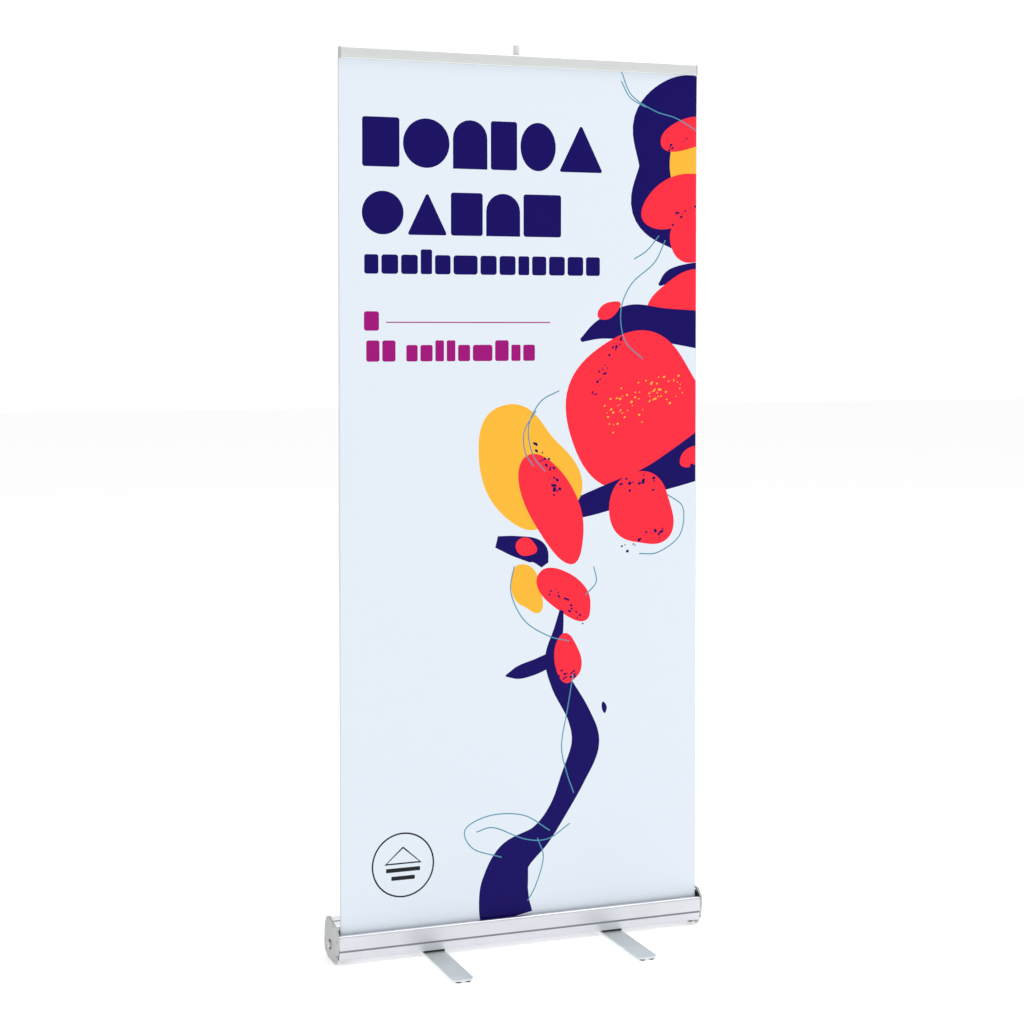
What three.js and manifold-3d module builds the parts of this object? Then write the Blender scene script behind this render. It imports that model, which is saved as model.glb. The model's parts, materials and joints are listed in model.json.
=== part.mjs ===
// Roll-up banner stand: a cassette base with a spring roller, a printed film, a top rail and a
// three-section support pole, standing on two feet that swivel under the base.
// Millimetres, +Z up, +X to the right as seen from the front, front facing -Y.
// Outlines are [y, z] pairs, with y counted back from the hanging film's plane and z from the floor.
import * as THREE from "three";
import { mergeVertices } from "three/addons/utils/BufferGeometryUtils.js";
import Module from "manifold-3d";

const GAP = 0.3; // between pieces that touch
const ARC_STEPS = 3; // steps of a quarter-like corner arc, doubled by three.js on true arcs

// Film
const FILM_WIDTH = 850;
const FILM_THICK = 0.5;
const FILM_LOW_Z = 20;
const FILM_HIGH_Z = 1970;
const FILM_PLANE_Y = 4.75; // centres the whole stand over the feet

// Top rail
const RAIL_LOW_Z = 1956.6;
const RAIL_TOP_Z = 1981;
const RAIL_FRONT_Y = -8;
const RAIL_REAR_Y = 6.1;
const RAIL_WALL = 1.5;
const RAIL_HALF = 422.5;
const RAIL_CAP_LENGTH = 2.5;

// Base cassette
const BASE_HALF = 431;
const BASE_WALL = 1.6;
const BASE_BOTTOM_Z = 11.3;
const BASE_FRONT_Y = -17;
const LIP_TOP_Z = 66.6;
const GROOVE_TOP_Z = 34.6;
const GROOVE_LOW_Z = 30.4;
const CAP_THICK = 5;
const CAP_BEVEL = 0.9;
const PORT_OUTER_R = 3.1;
const PORT_BORE_R = 1.75;

// Roller
const ROLLER_Y = 43;
const ROLLER_Z = 33.8;
const TUBE_R = 16;
const TUBE_WALL = 1.4;
const TUBE_HALF = 426;
const ROLL_R = 18.5;
const AXLE_R = 4.1;
const AXLE_END_X = 441;
const KNOB_R = 6.4;
const BUSH_R = 10.6;
const KNOB_END_X = 442;
const SPRING_R = 9.5;
const SPRING_WIRE_R = 0.9;
const SPRING_TURNS = 14;
const SPRING_FROM_X = -398;
const SPRING_TO_X = -212;

// Pole
const POLE_X = -12;
const POLE_FOOT_Y = 70.2;
const POLE_FOOT_Z = 60.4;
const POLE_HEAD_Y = 14;
const POLE_HEAD_Z = 1969;
const POLE_LEAN = Math.atan2(POLE_FOOT_Y - POLE_HEAD_Y, POLE_HEAD_Z - POLE_FOOT_Z);
const POLE_TOP_Z = 2005;
const POLE_LENGTH = (POLE_TOP_Z - POLE_FOOT_Z) / Math.cos(POLE_LEAN);
const POLE_R = 6.5;
const POLE_WALL = 1;
const POLE_PLUG_LENGTH = 12;
const POLE_TIP_R = 7;
const POLE_TIP_LENGTH = 65;
const PLUG_REACH = 30;
const FERRULE_R = 5.2;
const FERRULE_BORE_R = 4;
const FERRULE_LENGTH = 80;
const CORD_R = 1.6;
const SOCKET_R = 10;
const SOCKET_DEPTH = 30;

// Feet
const FOOT_X = 212.5;
const FOOT_WIDTH = 48;
const FOOT_FRONT = 208;
const FOOT_REAR = 198.5;
const FOOT_THICK = 4.5;
const FOOT_CORNER_R = 15;
const PAD_HEIGHT = 3;
const PAD_R = 6;
const PAD_SPREAD = 10.5;
const PAD_INSET = 7.5;
const PIVOT_R = 3;
const PIVOT_HOLE_R = PIVOT_R + GAP;
const FOOT_TOP_Z = PAD_HEIGHT + FOOT_THICK;

const stand = new THREE.Group();
stand.position.y = FILM_PLANE_Y;
const group = new THREE.Group();
group.add(stand);

const wasm = await Module();
wasm.setup();

const finish = (colour, roughness, metalness) =>
  new THREE.MeshStandardMaterial({ color: colour, roughness, metalness });
const satinAluminium = finish(0xd9dade, 0.38, 0.9);
const railAluminium = finish(0xd4d5d2, 0.42, 0.85);
const footSteel = finish(0xc4c9ce, 0.4, 0.7);
const greyPlastic = finish(0xbfc1c1, 0.55, 0);
const blackPlastic = finish(0x17181a, 0.6, 0);
const clearPlastic = finish(0xe8ebe9, 0.3, 0);
const rubber = finish(0x1b1b1c, 0.85, 0);
const zincSteel = finish(0xd8d5c0, 0.35, 0.9);
const screwSteel = finish(0x8f9194, 0.4, 0.9);
const springSteel = finish(0x6f7276, 0.4, 0.9);
const printedFilm = finish(0xe7eef8, 0.45, 0);
const elasticCord = finish(0x222222, 0.8, 0);

/** Adds a named piece to a group. */
function piece(name, geometry, material, parent = stand) {
  const mesh = new THREE.Mesh(geometry, material);
  mesh.name = name;
  parent.add(mesh);
  return mesh;
}

/** A path through corners [a, b, radius], with an arc of that radius in each corner that has one. */
function corneredPath(path, corners, closed) {
  const at = corners.map(([a, b]) => new THREE.Vector2(a, b));
  const count = at.length;
  corners.forEach(([, , radius = 0], i) => {
    const here = at[i];
    const isEnd = !closed && (i === 0 || i === count - 1);
    if (radius === 0 || isEnd) {
      if (i === 0) path.moveTo(here.x, here.y);
      else path.lineTo(here.x, here.y);
      return;
    }
    const back = at[(i + count - 1) % count].clone().sub(here).normalize();
    const ahead = at[(i + 1) % count].clone().sub(here).normalize();
    const half = Math.acos(back.dot(ahead)) / 2;
    const reach = radius / Math.tan(half);
    const toCentre = back.clone().add(ahead).normalize().multiplyScalar(radius / Math.sin(half));
    const centre = here.clone().add(toCentre);
    const first = here.clone().addScaledVector(back, reach);
    const from = first.clone().sub(centre).angle();
    const to = here.clone().addScaledVector(ahead, reach).sub(centre).angle();
    if (i > 0 && path.curves.length === 0) path.lineTo(first.x, first.y);
    path.absarc(centre.x, centre.y, radius, from, to, back.cross(ahead) > 0);
  });
  return path;
}

/** A closed outline with rounded corners. */
function outline(corners) {
  return corneredPath(new THREE.Shape(), corners, true);
}

/** A thin wall: its outer face follows the corners, and its thickness lies to the left of them. */
function wall(corners, thickness) {
  const sampled = corneredPath(new THREE.Path(), corners, false).getPoints(ARC_STEPS);
  const outer = sampled.filter((point, i) => i === 0 || point.distanceTo(sampled[i - 1]) > 1e-6);
  const last = outer.length - 1;
  const heading = (i) => outer[i + 1].clone().sub(outer[i]).normalize();
  const inner = outer.map((point, i) => {
    const before = heading(Math.max(i - 1, 0));
    const after = heading(Math.min(i, last - 1));
    const mean = before.clone().add(after).normalize();
    const normal = new THREE.Vector2(-mean.y, mean.x);
    const mitre = thickness / normal.dot(new THREE.Vector2(-before.y, before.x));
    return point.clone().addScaledVector(normal, mitre);
  });
  return new THREE.Shape([...outer, ...inner.reverse()]);
}

/** Extrudes a [y, z] outline along X. */
function alongX(shape, fromX, toX) {
  const options = { depth: toX - fromX, bevelEnabled: false, curveSegments: ARC_STEPS };
  const toWorld = new THREE.Matrix4().makeBasis(
    new THREE.Vector3(0, 1, 0),
    new THREE.Vector3(0, 0, 1),
    new THREE.Vector3(1, 0, 0),
  );
  return new THREE.ExtrudeGeometry(shape, options).applyMatrix4(toWorld).translate(fromX, 0, 0);
}

/** Extrudes an [x, y] outline up from one height to another. */
function upZ(shape, fromZ, toZ) {
  const options = { depth: toZ - fromZ, bevelEnabled: false, curveSegments: ARC_STEPS * 2 };
  return new THREE.ExtrudeGeometry(shape, options).translate(0, 0, fromZ);
}

/** Revolves a [radius, height] profile, listed counter-clockwise, round Z. */
function roundZ(profile, segments = 24) {
  const points = profile.map(([r, z]) => new THREE.Vector2(r, z));
  return new THREE.LatheGeometry(points, segments).rotateX(Math.PI / 2);
}

/** Revolves a [radius, x] profile, listed counter-clockwise, round an axis along X at [y, z]. */
function roundX(profile, y, z, segments = 24) {
  return roundZ(profile, segments).rotateY(Math.PI / 2).translate(0, y, z);
}

/** A solid rod's profile. */
function rod(radius, from, to) {
  return [[0, from], [radius, from], [radius, to], [0, to]];
}

/** A tube's closed profile. */
function ring(bore, radius, from, to) {
  return [[bore, from], [radius, from], [radius, to], [bore, to], [bore, from]];
}

/** A closed geometry as a solid that can be joined and cut. */
function solid(geometry) {
  const bare = new THREE.BufferGeometry();
  bare.setAttribute("position", geometry.getAttribute("position"));
  bare.setIndex(geometry.getIndex());
  const merged = mergeVertices(bare, 1e-3);
  const vertProperties = merged.attributes.position.array;
  const triVerts = new Uint32Array(merged.index.array);
  return new wasm.Manifold(new wasm.Mesh({ numProp: 3, vertProperties, triVerts }));
}

/** The geometry of a joined or cut solid. */
function geometryOf(made) {
  const { vertProperties, triVerts } = made.getMesh();
  const geometry = new THREE.BufferGeometry();
  geometry.setAttribute("position", new THREE.BufferAttribute(vertProperties, 3));
  geometry.setIndex(new THREE.BufferAttribute(triVerts, 1));
  geometry.computeVertexNormals();
  return geometry;
}

/** Joins and cuts geometries: everything in plus, less everything in minus. */
function combine(plus, minus) {
  const joined = plus.map(solid).reduce((a, b) => a.add(b));
  return geometryOf(minus.map(solid).reduce((a, b) => a.subtract(b), joined));
}

/** A circle as a shape. */
function disc(radius, a = 0, b = 0) {
  return new THREE.Shape().absarc(a, b, radius, 0, Math.PI * 2, false);
}

/** The closed screw port that runs along a profile, as a pair to join and to cut. */
function screwPort([y, z], half) {
  return [
    roundX(rod(PORT_OUTER_R, -half, half), y, z, 16),
    roundX(rod(PORT_BORE_R, -half - 1, half + 1), y, z, 12),
  ];
}

/** A pose of the pole's own frame, whose Z runs up along the leaning pole. */
function poleFrame() {
  const frame = new THREE.Group();
  frame.position.set(POLE_X, POLE_FOOT_Y, POLE_FOOT_Z);
  frame.rotation.x = POLE_LEAN;
  return frame;
}

/** Moves a geometry from the pole's frame to the stand's. */
function fromPole(geometry) {
  return geometry.rotateX(POLE_LEAN).translate(POLE_X, POLE_FOOT_Y, POLE_FOOT_Z);
}

const ROLLER_AT = [ROLLER_Y, ROLLER_Z];
const PANEL_SCREW = [-12.5, 54];
const LOW_FRONT_SCREW = [-8.3, 20];
const LOW_REAR_SCREW = [74, 15.7];
const COVER_SCREW = [22, 78.8];
const CAP_SCREWS = {
  panel: PANEL_SCREW,
  low_front: LOW_FRONT_SCREW,
  low_rear: LOW_REAR_SCREW,
  cover: COVER_SCREW,
};

/** The three aluminium profiles that close round the roller. */
function addProfiles() {
  const half = BASE_HALF - GAP;
  const tongueY = BASE_FRONT_Y + 4.6;
  const shell = wall(
    [
      [tongueY, 44],
      [tongueY, GROOVE_LOW_Z],
      [BASE_FRONT_Y + 1.6, GROOVE_LOW_Z, 1],
      [-10.4, BASE_BOTTOM_Z, 2.5],
      [79, BASE_BOTTOM_Z, 9],
      [88.8, 27, 14],
      [86, 64, 14],
      [74.5, 85.5, 12],
      [57, 90.6, 10],
      [37.4, 86.4],
      [37.4, 83.4],
      [27, 82],
    ],
    BASE_WALL,
  );
  const [frontPort, frontBore] = screwPort(LOW_FRONT_SCREW, half);
  const [rearPort, rearBore] = screwPort(LOW_REAR_SCREW, half);
  const pivotHole = (x) =>
    roundZ(rod(PIVOT_HOLE_R, BASE_BOTTOM_Z - 2, BASE_BOTTOM_Z + BASE_WALL + 1), 16).translate(x, 0, 0);
  const poleHole = fromPole(roundZ(rod(SOCKET_R + GAP, 0, SOCKET_DEPTH * 2), 28));
  const shellGeometry = combine(
    [alongX(shell, -half, half), frontPort, rearPort],
    [frontBore, rearBore, pivotHole(-FOOT_X), pivotHole(FOOT_X), poleHole],
  );
  piece("base_shell", shellGeometry, satinAluminium);

  const panel = wall(
    [
      [-6.2, LIP_TOP_Z - 4],
      [-6.2, LIP_TOP_Z, 1.9],
      [BASE_FRONT_Y, LIP_TOP_Z, 5],
      [BASE_FRONT_Y, GROOVE_TOP_Z],
      [BASE_FRONT_Y + 3.8, GROOVE_TOP_Z],
    ],
    BASE_WALL,
  );
  const [panelPort, panelBore] = screwPort(PANEL_SCREW, half);
  piece("front_panel", combine([alongX(panel, -half, half), panelPort], [panelBore]), satinAluminium);

  const cover = wall(
    [
      [33.4, 85.6],
      [17, 82.2, 12],
      [3.4, 81.4, 3],
      [3.4, 73.5],
    ],
    BASE_WALL,
  );
  const [coverPort, coverBore] = screwPort(COVER_SCREW, half);
  piece("top_cover", combine([alongX(cover, -half, half), coverPort], [coverBore]), satinAluminium);
}

/** The moulded plate that closes each end, with its screws, and the roller's fixed axle end. */
function addEnds() {
  const plate = outline([
    [-17.9, 67.6, 2],
    [-17.9, 44, 20],
    [-13, 28, 30],
    [1.5, 0.9, 5],
    [63, 0.9, 16],
    [88.5, 13, 12],
    [90.6, 34, 30],
    [87, 66, 16],
    [75.5, 87, 12],
    [57, 92.4, 10],
    [18, 83.8, 12],
    [1, 83.4, 6],
    [-9.5, 74, 6],
  ]);
  const bevelled = new THREE.ExtrudeGeometry(plate, {
    depth: 2 * CAP_THICK,
    bevelThickness: CAP_BEVEL,
    bevelSize: CAP_BEVEL,
    bevelOffset: -CAP_BEVEL,
    bevelSegments: 2,
    curveSegments: ARC_STEPS,
  });
  const toWorld = new THREE.Matrix4().makeBasis(
    new THREE.Vector3(0, 1, 0),
    new THREE.Vector3(0, 0, 1),
    new THREE.Vector3(1, 0, 0),
  );
  const outerX = BASE_HALF + CAP_THICK;
  bevelled.applyMatrix4(toWorld).translate(outerX - 2 * CAP_THICK - CAP_BEVEL, 0, 0);
  const inside = new THREE.BoxGeometry(2 * CAP_THICK, 200, 200).translate(BASE_HALF - CAP_THICK, 0, 60);
  const screwHole = ([y, z]) => roundX(rod(PORT_BORE_R, BASE_HALF - 1, outerX + 1), y, z, 12);
  const screwRecess = ([y, z]) => roundX(rod(3.7, outerX - 1.9, outerX + 1), y, z, 16);
  const lockHole = roundX(rod(2.3, BASE_HALF - 1, outerX + 1), ROLLER_Y - 13, ROLLER_Z + 11.5, 12);
  const axleHole = roundX(rod(AXLE_R + GAP, BASE_HALF - 1, outerX + 1), ...ROLLER_AT, 20);
  const dish = roundX(rod(11.5, outerX - 1.4, outerX + 1), ...ROLLER_AT, 28);
  const holes = Object.values(CAP_SCREWS);
  const rightPlate = combine(
    [bevelled],
    [inside, lockHole, axleHole, dish, ...holes.map(screwHole), ...holes.map(screwRecess)],
  );
  const screw = [[0, -18], [1.45, -18], [1.45, -1.5], [3.1, -1.5], [3.1, -0.6], [2.4, -0.1], [0, -0.1]];
  const knob = [
    [AXLE_R + GAP, outerX - 1.1],
    [BUSH_R, outerX - 1.1],
    [BUSH_R, outerX + 0.2],
    [KNOB_R, outerX + 0.2],
    [KNOB_R, KNOB_END_X - 1.8],
    [KNOB_R - 0.5, KNOB_END_X - 0.6],
    [KNOB_R - 1.7, KNOB_END_X],
    [AXLE_R + GAP, KNOB_END_X],
    [AXLE_R + GAP, outerX - 1.1],
  ];
  const guide = outline([
    [2.6, LIP_TOP_Z - 6],
    [2.6, LIP_TOP_Z + 9],
    [-6, LIP_TOP_Z + 9, 2],
    [-13, LIP_TOP_Z + 4, 2],
    [-13, LIP_TOP_Z + GAP],
    [-2, LIP_TOP_Z + GAP],
    [-2, LIP_TOP_Z - 6],
  ]);
  const guideSpan = [FILM_WIDTH / 2 + 3.4, BASE_HALF - 2 * GAP];
  for (const [side, turn] of [["right", 1], ["left", -1]]) {
    const mirrored = (geometry) => mirrorX(geometry, turn);
    piece(`end_cap_${side}`, mirrored(rightPlate.clone()), greyPlastic);
    piece(`axle_nut_${side}`, mirrored(roundX(knob, ...ROLLER_AT, 28)), clearPlastic);
    const [guideFrom, guideTo] = guideSpan.map((x) => turn * x).sort((a, b) => a - b);
    piece(`slot_guide_${side}`, alongX(guide, guideFrom, guideTo), blackPlastic);
    for (const [name, at] of Object.entries(CAP_SCREWS)) {
      const placed = roundX(screw, ...at, 14).translate(outerX, 0, 0);
      piece(`cap_screw_${name}_${side}`, mirrored(placed), screwSteel);
    }
  }
}

/** Mirrors a geometry in the YZ plane when the sign is negative, and keeps its faces pointing out. */
function mirrorX(geometry, sign) {
  if (sign > 0) return geometry;
  const flipped = geometry.scale(-1, 1, 1);
  const index = flipped.getIndex();
  for (let i = 0; i < index.count; i += 3) {
    const first = index.getX(i);
    index.setX(i, index.getX(i + 1));
    index.setX(i + 1, first);
  }
  flipped.computeVertexNormals();
  return flipped;
}

/** A helix round an axis along X. */
class Helix extends THREE.Curve {
  getPoint(share) {
    const angle = share * SPRING_TURNS * Math.PI * 2;
    const x = THREE.MathUtils.lerp(SPRING_FROM_X, SPRING_TO_X, share);
    return new THREE.Vector3(
      x,
      ROLLER_Y + SPRING_R * Math.cos(angle),
      ROLLER_Z + SPRING_R * Math.sin(angle),
    );
  }
}

/** The spring roller: tube, end plugs, fixed axles and the spring that winds the film in. */
function addRoller() {
  const bore = TUBE_R - TUBE_WALL;
  const plugR = bore - GAP;
  piece("roller_tube", roundX(ring(bore, TUBE_R, -TUBE_HALF, TUBE_HALF), ...ROLLER_AT, 36), satinAluminium);
  const filmHalf = FILM_WIDTH / 2;
  const roll = ring(TUBE_R + GAP, ROLL_R, -filmHalf, filmHalf);
  piece("banner_roll", roundX(roll, ...ROLLER_AT, 40), printedFilm);
  const plug = [
    [AXLE_R + GAP, TUBE_HALF - 22],
    [plugR, TUBE_HALF - 22],
    [plugR, TUBE_HALF + GAP],
    [TUBE_R, TUBE_HALF + GAP],
    [TUBE_R, TUBE_HALF + 3],
    [AXLE_R + GAP, TUBE_HALF + 3],
    [AXLE_R + GAP, TUBE_HALF - 22],
  ];
  const plugGeometry = () => roundX(plug, ...ROLLER_AT, 28);
  piece("roller_plug_idler", plugGeometry(), blackPlastic);
  piece("roller_plug_spring", mirrorX(plugGeometry(), -1), blackPlastic);
  const drive = ring(AXLE_R + GAP, plugR, SPRING_TO_X + 2, SPRING_TO_X + 14);
  piece("spring_drive_plug", roundX(drive, ...ROLLER_AT, 28), blackPlastic);
  piece("spring_arbor", roundX(rod(AXLE_R, -AXLE_END_X, SPRING_TO_X + 22), ...ROLLER_AT, 20), zincSteel);
  const collar = ring(AXLE_R + GAP, SPRING_R + 1, SPRING_FROM_X - 5, SPRING_FROM_X - 1.5);
  piece("spring_collar", roundX(collar, ...ROLLER_AT, 20), zincSteel);
  piece("idler_axle", roundX(rod(AXLE_R, TUBE_HALF - 30, AXLE_END_X), ...ROLLER_AT, 20), zincSteel);
  const wire = new THREE.Shape().absarc(0, 0, SPRING_WIRE_R, 0, Math.PI * 2, false);
  const coil = new THREE.ExtrudeGeometry(wire, {
    extrudePath: new Helix(),
    steps: SPRING_TURNS * 12,
    curveSegments: 3,
    bevelEnabled: false,
  });
  piece("torsion_spring", coil, springSteel);
}

/** The film: the hanging sheet, and the short run inside the base from the roll to the slot. */
function addFilm() {
  const half = FILM_WIDTH / 2;
  const topHalf = RAIL_HALF - RAIL_CAP_LENGTH - 2 * GAP;
  const shoulderZ = RAIL_LOW_Z - GAP;
  const sheet = new THREE.Shape([
    new THREE.Vector2(-half, FILM_LOW_Z),
    new THREE.Vector2(half, FILM_LOW_Z),
    new THREE.Vector2(half, shoulderZ),
    new THREE.Vector2(topHalf, shoulderZ),
    new THREE.Vector2(topHalf, FILM_HIGH_Z),
    new THREE.Vector2(-topHalf, FILM_HIGH_Z),
    new THREE.Vector2(-topHalf, shoulderZ),
    new THREE.Vector2(-half, shoulderZ),
  ]);
  const flat = new THREE.ExtrudeGeometry(sheet, { depth: FILM_THICK, bevelEnabled: false });
  piece("banner_sheet", flat.rotateX(Math.PI / 2).translate(0, FILM_THICK / 2, 0), printedFilm);

  const start = new THREE.Vector2(0.9, LIP_TOP_Z - 5.6);
  const centre = new THREE.Vector2(...ROLLER_AT);
  const reachR = ROLL_R + GAP + FILM_THICK / 2;
  const toCentre = centre.clone().sub(start);
  const turn = Math.asin(reachR / toCentre.length());
  const run = Math.sqrt(toCentre.lengthSq() - reachR * reachR);
  const along = toCentre.clone().normalize().rotateAround(new THREE.Vector2(), turn);
  const across = new THREE.Vector2(-along.y, along.x).multiplyScalar(FILM_THICK / 2);
  const end = start.clone().addScaledVector(along, run);
  const web = new THREE.Shape([
    start.clone().sub(across),
    end.clone().sub(across),
    end.clone().add(across),
    start.clone().add(across),
  ]);
  piece("banner_web", alongX(web, -half, half), printedFilm);
}

/** The top rail: two profile halves that close on the film, a grip strip and two end caps. */
function addRail() {
  const capInnerX = RAIL_HALF - RAIL_CAP_LENGTH;
  const half = capInnerX - GAP;
  const jointZ = RAIL_TOP_Z - 6.5;
  const lip = [
    [RAIL_FRONT_Y, RAIL_LOW_Z + 4.6],
    [RAIL_FRONT_Y + 1.4, RAIL_LOW_Z + 4.2],
    [RAIL_FRONT_Y + 1.4, RAIL_LOW_Z, 1.6],
  ];
  const front = wall(
    [
      [RAIL_REAR_Y, jointZ + 0.5],
      [RAIL_REAR_Y, RAIL_TOP_Z, 1.8],
      [RAIL_FRONT_Y, RAIL_TOP_Z, 2.2],
      ...lip,
      [-0.9, RAIL_LOW_Z],
    ],
    RAIL_WALL,
  );
  piece("rail_front", alongX(front, -half, half), railAluminium);
  const back = wall(
    [
      [0.9, RAIL_LOW_Z],
      [RAIL_REAR_Y, RAIL_LOW_Z, 1.6],
      [RAIL_REAR_Y, jointZ],
    ],
    RAIL_WALL,
  );
  const ledgeZ = RAIL_LOW_Z + 11;
  const ledge = new THREE.BoxGeometry(2 * half, 3, 2).translate(0, RAIL_REAR_Y + 0.6, ledgeZ);
  piece("rail_back", combine([alongX(back, -half, half), ledge], []), railAluminium);
  const grip = outline([
    [0.6, RAIL_LOW_Z + 3],
    [RAIL_REAR_Y - RAIL_WALL - GAP, RAIL_LOW_Z + 3],
    [RAIL_REAR_Y - RAIL_WALL - GAP, RAIL_LOW_Z + 12],
    [0.6, RAIL_LOW_Z + 12],
  ]);
  piece("rail_grip_strip", alongX(grip, -half, half), rubber);
  const cap = outline([
    [RAIL_REAR_Y, RAIL_TOP_Z, 1.8],
    [RAIL_FRONT_Y, RAIL_TOP_Z, 2.2],
    ...lip,
    [RAIL_REAR_Y, RAIL_LOW_Z, 1.6],
  ]);
  piece("rail_cap_right", alongX(cap, capInnerX, RAIL_HALF), greyPlastic);
  piece("rail_cap_left", alongX(cap, -RAIL_HALF, -capInnerX), greyPlastic);
}

/** The support pole: three tubes on inner ferrules, an elastic cord, end plugs and its socket. */
function addPole() {
  const frame = poleFrame();
  stand.add(frame);
  const boreR = POLE_R - POLE_WALL;
  const tipFrom = POLE_LENGTH - POLE_TIP_LENGTH;
  const tubesFrom = POLE_PLUG_LENGTH;
  const section = (tipFrom - tubesFrom) / 3;
  ["lower", "middle", "upper"].forEach((name, i) => {
    const from = tubesFrom + i * section + GAP / 2;
    const tube = ring(boreR, POLE_R, from, from + section - GAP);
    piece(`pole_${name}`, roundZ(tube), satinAluminium, frame);
  });
  ["low", "high"].forEach((name, i) => {
    const middle = tubesFrom + (i + 1) * section;
    const ferrule = ring(FERRULE_BORE_R, FERRULE_R, middle - FERRULE_LENGTH / 2, middle + FERRULE_LENGTH / 2);
    piece(`pole_ferrule_${name}`, roundZ(ferrule, 20), zincSteel, frame);
  });
  const plug = [
    [0, 0],
    [POLE_R - 0.8, 0],
    [POLE_R, 0.8],
    [POLE_R, tubesFrom - GAP / 2],
    [FERRULE_R, tubesFrom - GAP / 2],
    [FERRULE_R, tubesFrom + PLUG_REACH],
    [0, tubesFrom + PLUG_REACH],
  ];
  piece("pole_base_plug", roundZ(plug), blackPlastic, frame);
  const neck = (RAIL_LOW_Z + 11 - POLE_FOOT_Z) / Math.cos(POLE_LEAN);
  const tip = [
    [0, tipFrom - PLUG_REACH],
    [FERRULE_R, tipFrom - PLUG_REACH],
    [FERRULE_R, tipFrom + GAP / 2],
    [POLE_TIP_R, tipFrom + GAP / 2],
    [POLE_TIP_R, neck - 4],
    [5, neck - 2.5],
    [5, neck + 2.5],
    [POLE_TIP_R, neck + 4],
    [POLE_TIP_R, POLE_LENGTH - 1.2],
    [POLE_TIP_R - 1.2, POLE_LENGTH],
    [0, POLE_LENGTH],
  ];
  piece("pole_tip", roundZ(tip), clearPlastic, frame);
  const cord = rod(CORD_R, tubesFrom + PLUG_REACH + GAP, tipFrom - PLUG_REACH - GAP);
  piece("pole_elastic_cord", roundZ(cord, 8), elasticCord, frame);
  const cup = [
    [0, -2.4],
    [SOCKET_R, -2.4],
    [SOCKET_R, SOCKET_DEPTH - 0.8],
    [SOCKET_R - 0.8, SOCKET_DEPTH],
    [POLE_R + 0.5, SOCKET_DEPTH],
    [POLE_R + 0.5, -GAP],
    [0, -GAP],
  ];
  piece("pole_socket", roundZ(cup, 28), blackPlastic, frame);
}

/** The two flat feet with their pivots and rubber pads, and the small buffers above them. */
function addFeet() {
  for (const [side, sign] of [["left", -1], ["right", 1]]) {
    const pivot = new THREE.Group();
    pivot.position.x = sign * FOOT_X;
    stand.add(pivot);
    const bar = outline([
      [-FOOT_WIDTH / 2, -FOOT_FRONT, FOOT_CORNER_R],
      [FOOT_WIDTH / 2, -FOOT_FRONT, FOOT_CORNER_R],
      [FOOT_WIDTH / 2, FOOT_REAR, FOOT_CORNER_R],
      [-FOOT_WIDTH / 2, FOOT_REAR, FOOT_CORNER_R],
    ]);
    bar.holes.push(disc(PIVOT_HOLE_R));
    piece(`foot_${side}`, upZ(bar, PAD_HEIGHT, FOOT_TOP_Z), footSteel, pivot);
    const ends = [["front", -FOOT_FRONT + PAD_INSET], ["rear", FOOT_REAR - PAD_INSET]];
    for (const [end, y] of ends) {
      for (const [hand, x] of [["a", -PAD_SPREAD], ["b", PAD_SPREAD]]) {
        const pad = roundZ(rod(PAD_R, 0, PAD_HEIGHT - GAP), 20).translate(x, y, 0);
        piece(`foot_pad_${side}_${end}_${hand}`, pad, rubber, pivot);
      }
    }
    const screw = [
      [0, 1.1],
      [6.2, 1.1],
      [7, 1.8],
      [7, PAD_HEIGHT - GAP],
      [PIVOT_R, PAD_HEIGHT - GAP],
      [PIVOT_R, 17.5],
      [0, 17.5],
    ];
    piece(`foot_pivot_screw_${side}`, roundZ(screw, 20), screwSteel, pivot);
    const guide = outline([
      [-FOOT_WIDTH / 2, -9],
      [FOOT_WIDTH / 2, -9],
      [FOOT_WIDTH / 2, 9],
      [-FOOT_WIDTH / 2, 9],
    ]);
    guide.holes.push(disc(PIVOT_HOLE_R));
    piece(`foot_guide_${side}`, upZ(guide, FOOT_TOP_Z + GAP, BASE_BOTTOM_Z - GAP), blackPlastic, pivot);
    const plate = outline([[-15, -8], [15, -8], [15, 8], [-15, 8]]);
    plate.holes.push(disc(PIVOT_HOLE_R));
    const plateZ = BASE_BOTTOM_Z + BASE_WALL + GAP;
    piece(`foot_nut_plate_${side}`, upZ(plate, plateZ, plateZ + 3), screwSteel, pivot);
  }
  for (const [side, x, y] of [["right", 412, -2], ["left", -412, 14]]) {
    const buffer = roundZ(rod(6.5, FOOT_TOP_Z + 0.4, BASE_BOTTOM_Z - GAP), 20).translate(x, y, 0);
    piece(`base_buffer_${side}`, buffer, rubber);
  }
}

addProfiles();
addEnds();
addRoller();
addFilm();
addRail();
addPole();
addFeet();

export default group;
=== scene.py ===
"""A roll-up banner stand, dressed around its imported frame.

The printed film, its roll, the pole and the feet are made here. The profiles,
end caps and inner parts are the frame's own and get their finishes here.
Sizes are in millimetres until a mesh is made. +Z is up, +X is to the right as
seen from the front, and the printed face looks towards -Y.
"""
import json
import logging
import math
from collections.abc import Sequence
from dataclasses import dataclass, field
from enum import Enum, IntEnum

import bpy
import numpy as np
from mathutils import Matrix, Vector
from mathutils.geometry import delaunay_2d_cdt


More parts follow.
